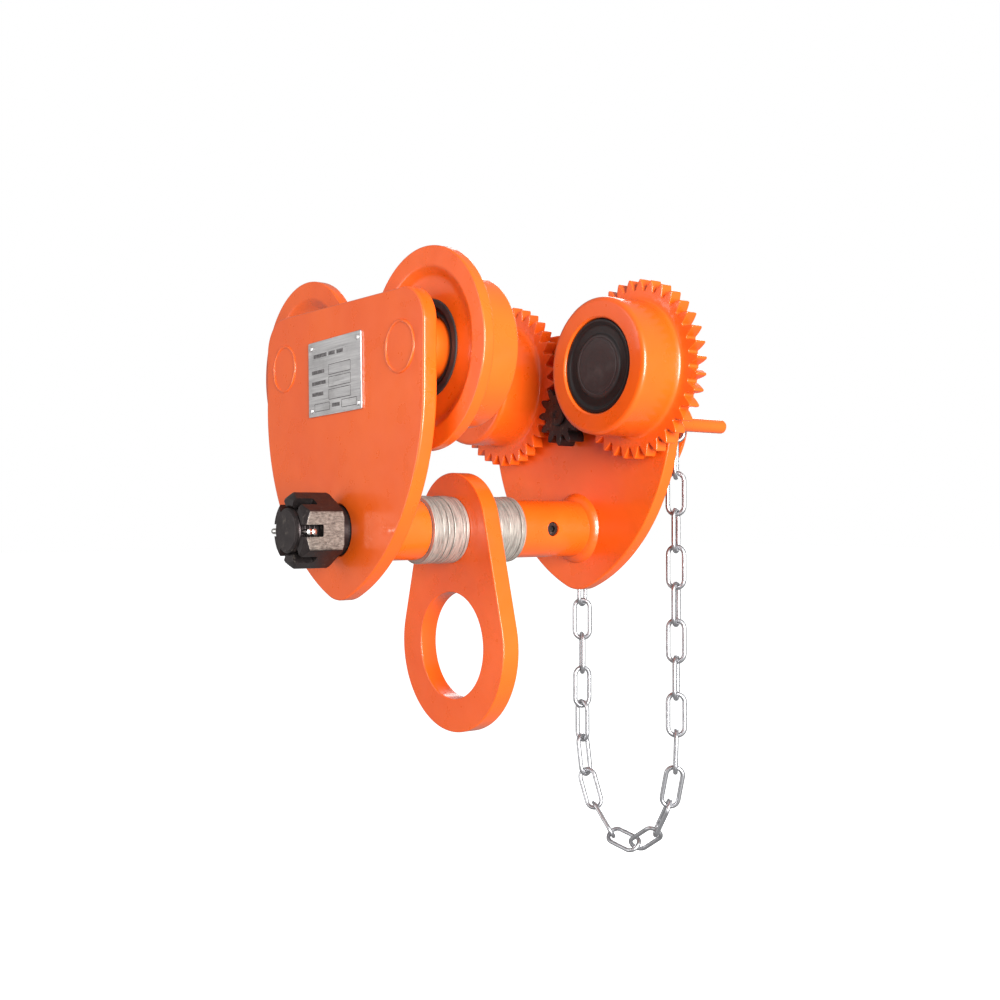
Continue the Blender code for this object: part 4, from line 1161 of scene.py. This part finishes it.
def soft_light(name, place, size, power):
    """A square area light that faces the object."""
    data = bpy.data.lights.new(name, "AREA")
    data.shape = "RECTANGLE"
    data.size = data.size_y = size
    data.energy = power
    aim = Vector((0, 0, -0.05)) - Vector(place)
    add_object(name, data, place).rotation_euler = aim.to_track_quat("-Z", "Y").to_euler()


def make_world():
    """White behind the object. The light that it casts is dimmer."""
    world = bpy.data.worlds.new("studio")
    world.use_nodes = True
    tree = world.node_tree
    seen, cast = tree.nodes["Background"], tree.nodes.new("ShaderNodeBackground")
    for background, strength in ((seen, 1.0), (cast, 0.34)):
        background.inputs["Color"].default_value = (1, 1, 1, 1)
        background.inputs["Strength"].default_value = strength
    choice = tree.nodes.new("ShaderNodeMixShader")
    path = tree.nodes.new("ShaderNodeLightPath")
    tree.links.new(path.outputs["Is Camera Ray"], choice.inputs[0])
    tree.links.new(cast.outputs[0], choice.inputs[1])
    tree.links.new(seen.outputs[0], choice.inputs[2])
    tree.links.new(choice.outputs[0], tree.nodes["World Output"].inputs["Surface"])
    bpy.context.scene.world = world


def make_studio():
    """A low key light in front, a little to the left, and two weak fills."""
    bpy.context.scene.view_settings.view_transform = "Standard"
    make_world()
    make_floor()
    soft_light("key", (-0.58, -2.45, 0.12), 1.5, 160)
    soft_light("side_fill", (-2.4, 1.0, 0.15), 1.8, 26)
    soft_light("far_fill", (2.3, 1.5, 0.7), 1.8, 45)


def make_camera():
    data = bpy.data.cameras.new("camera")
    data.sensor_width = 36
    data.lens = 44.71
    camera = add_object("camera", data, (-0.6272, -0.8603, -0.0686))
    camera.rotation_euler = (math.radians(90.80), 0, math.radians(-37.48))
    bpy.context.scene.camera = camera


make_camera()
make_side_plates()
make_nameplate()
make_wheels()
make_sleeves()
make_sleeve_screw()
make_load_shaft()
make_castle_nut()
make_cotter_pin()
make_washers()
make_hanger_plate()
make_pinion_shaft()
make_hand_chain_wheel()
make_chain_wheel_nut()
make_drive_bearing()
make_guide_rods()
make_hand_chain()
dress_kept_nodes()
make_studio()
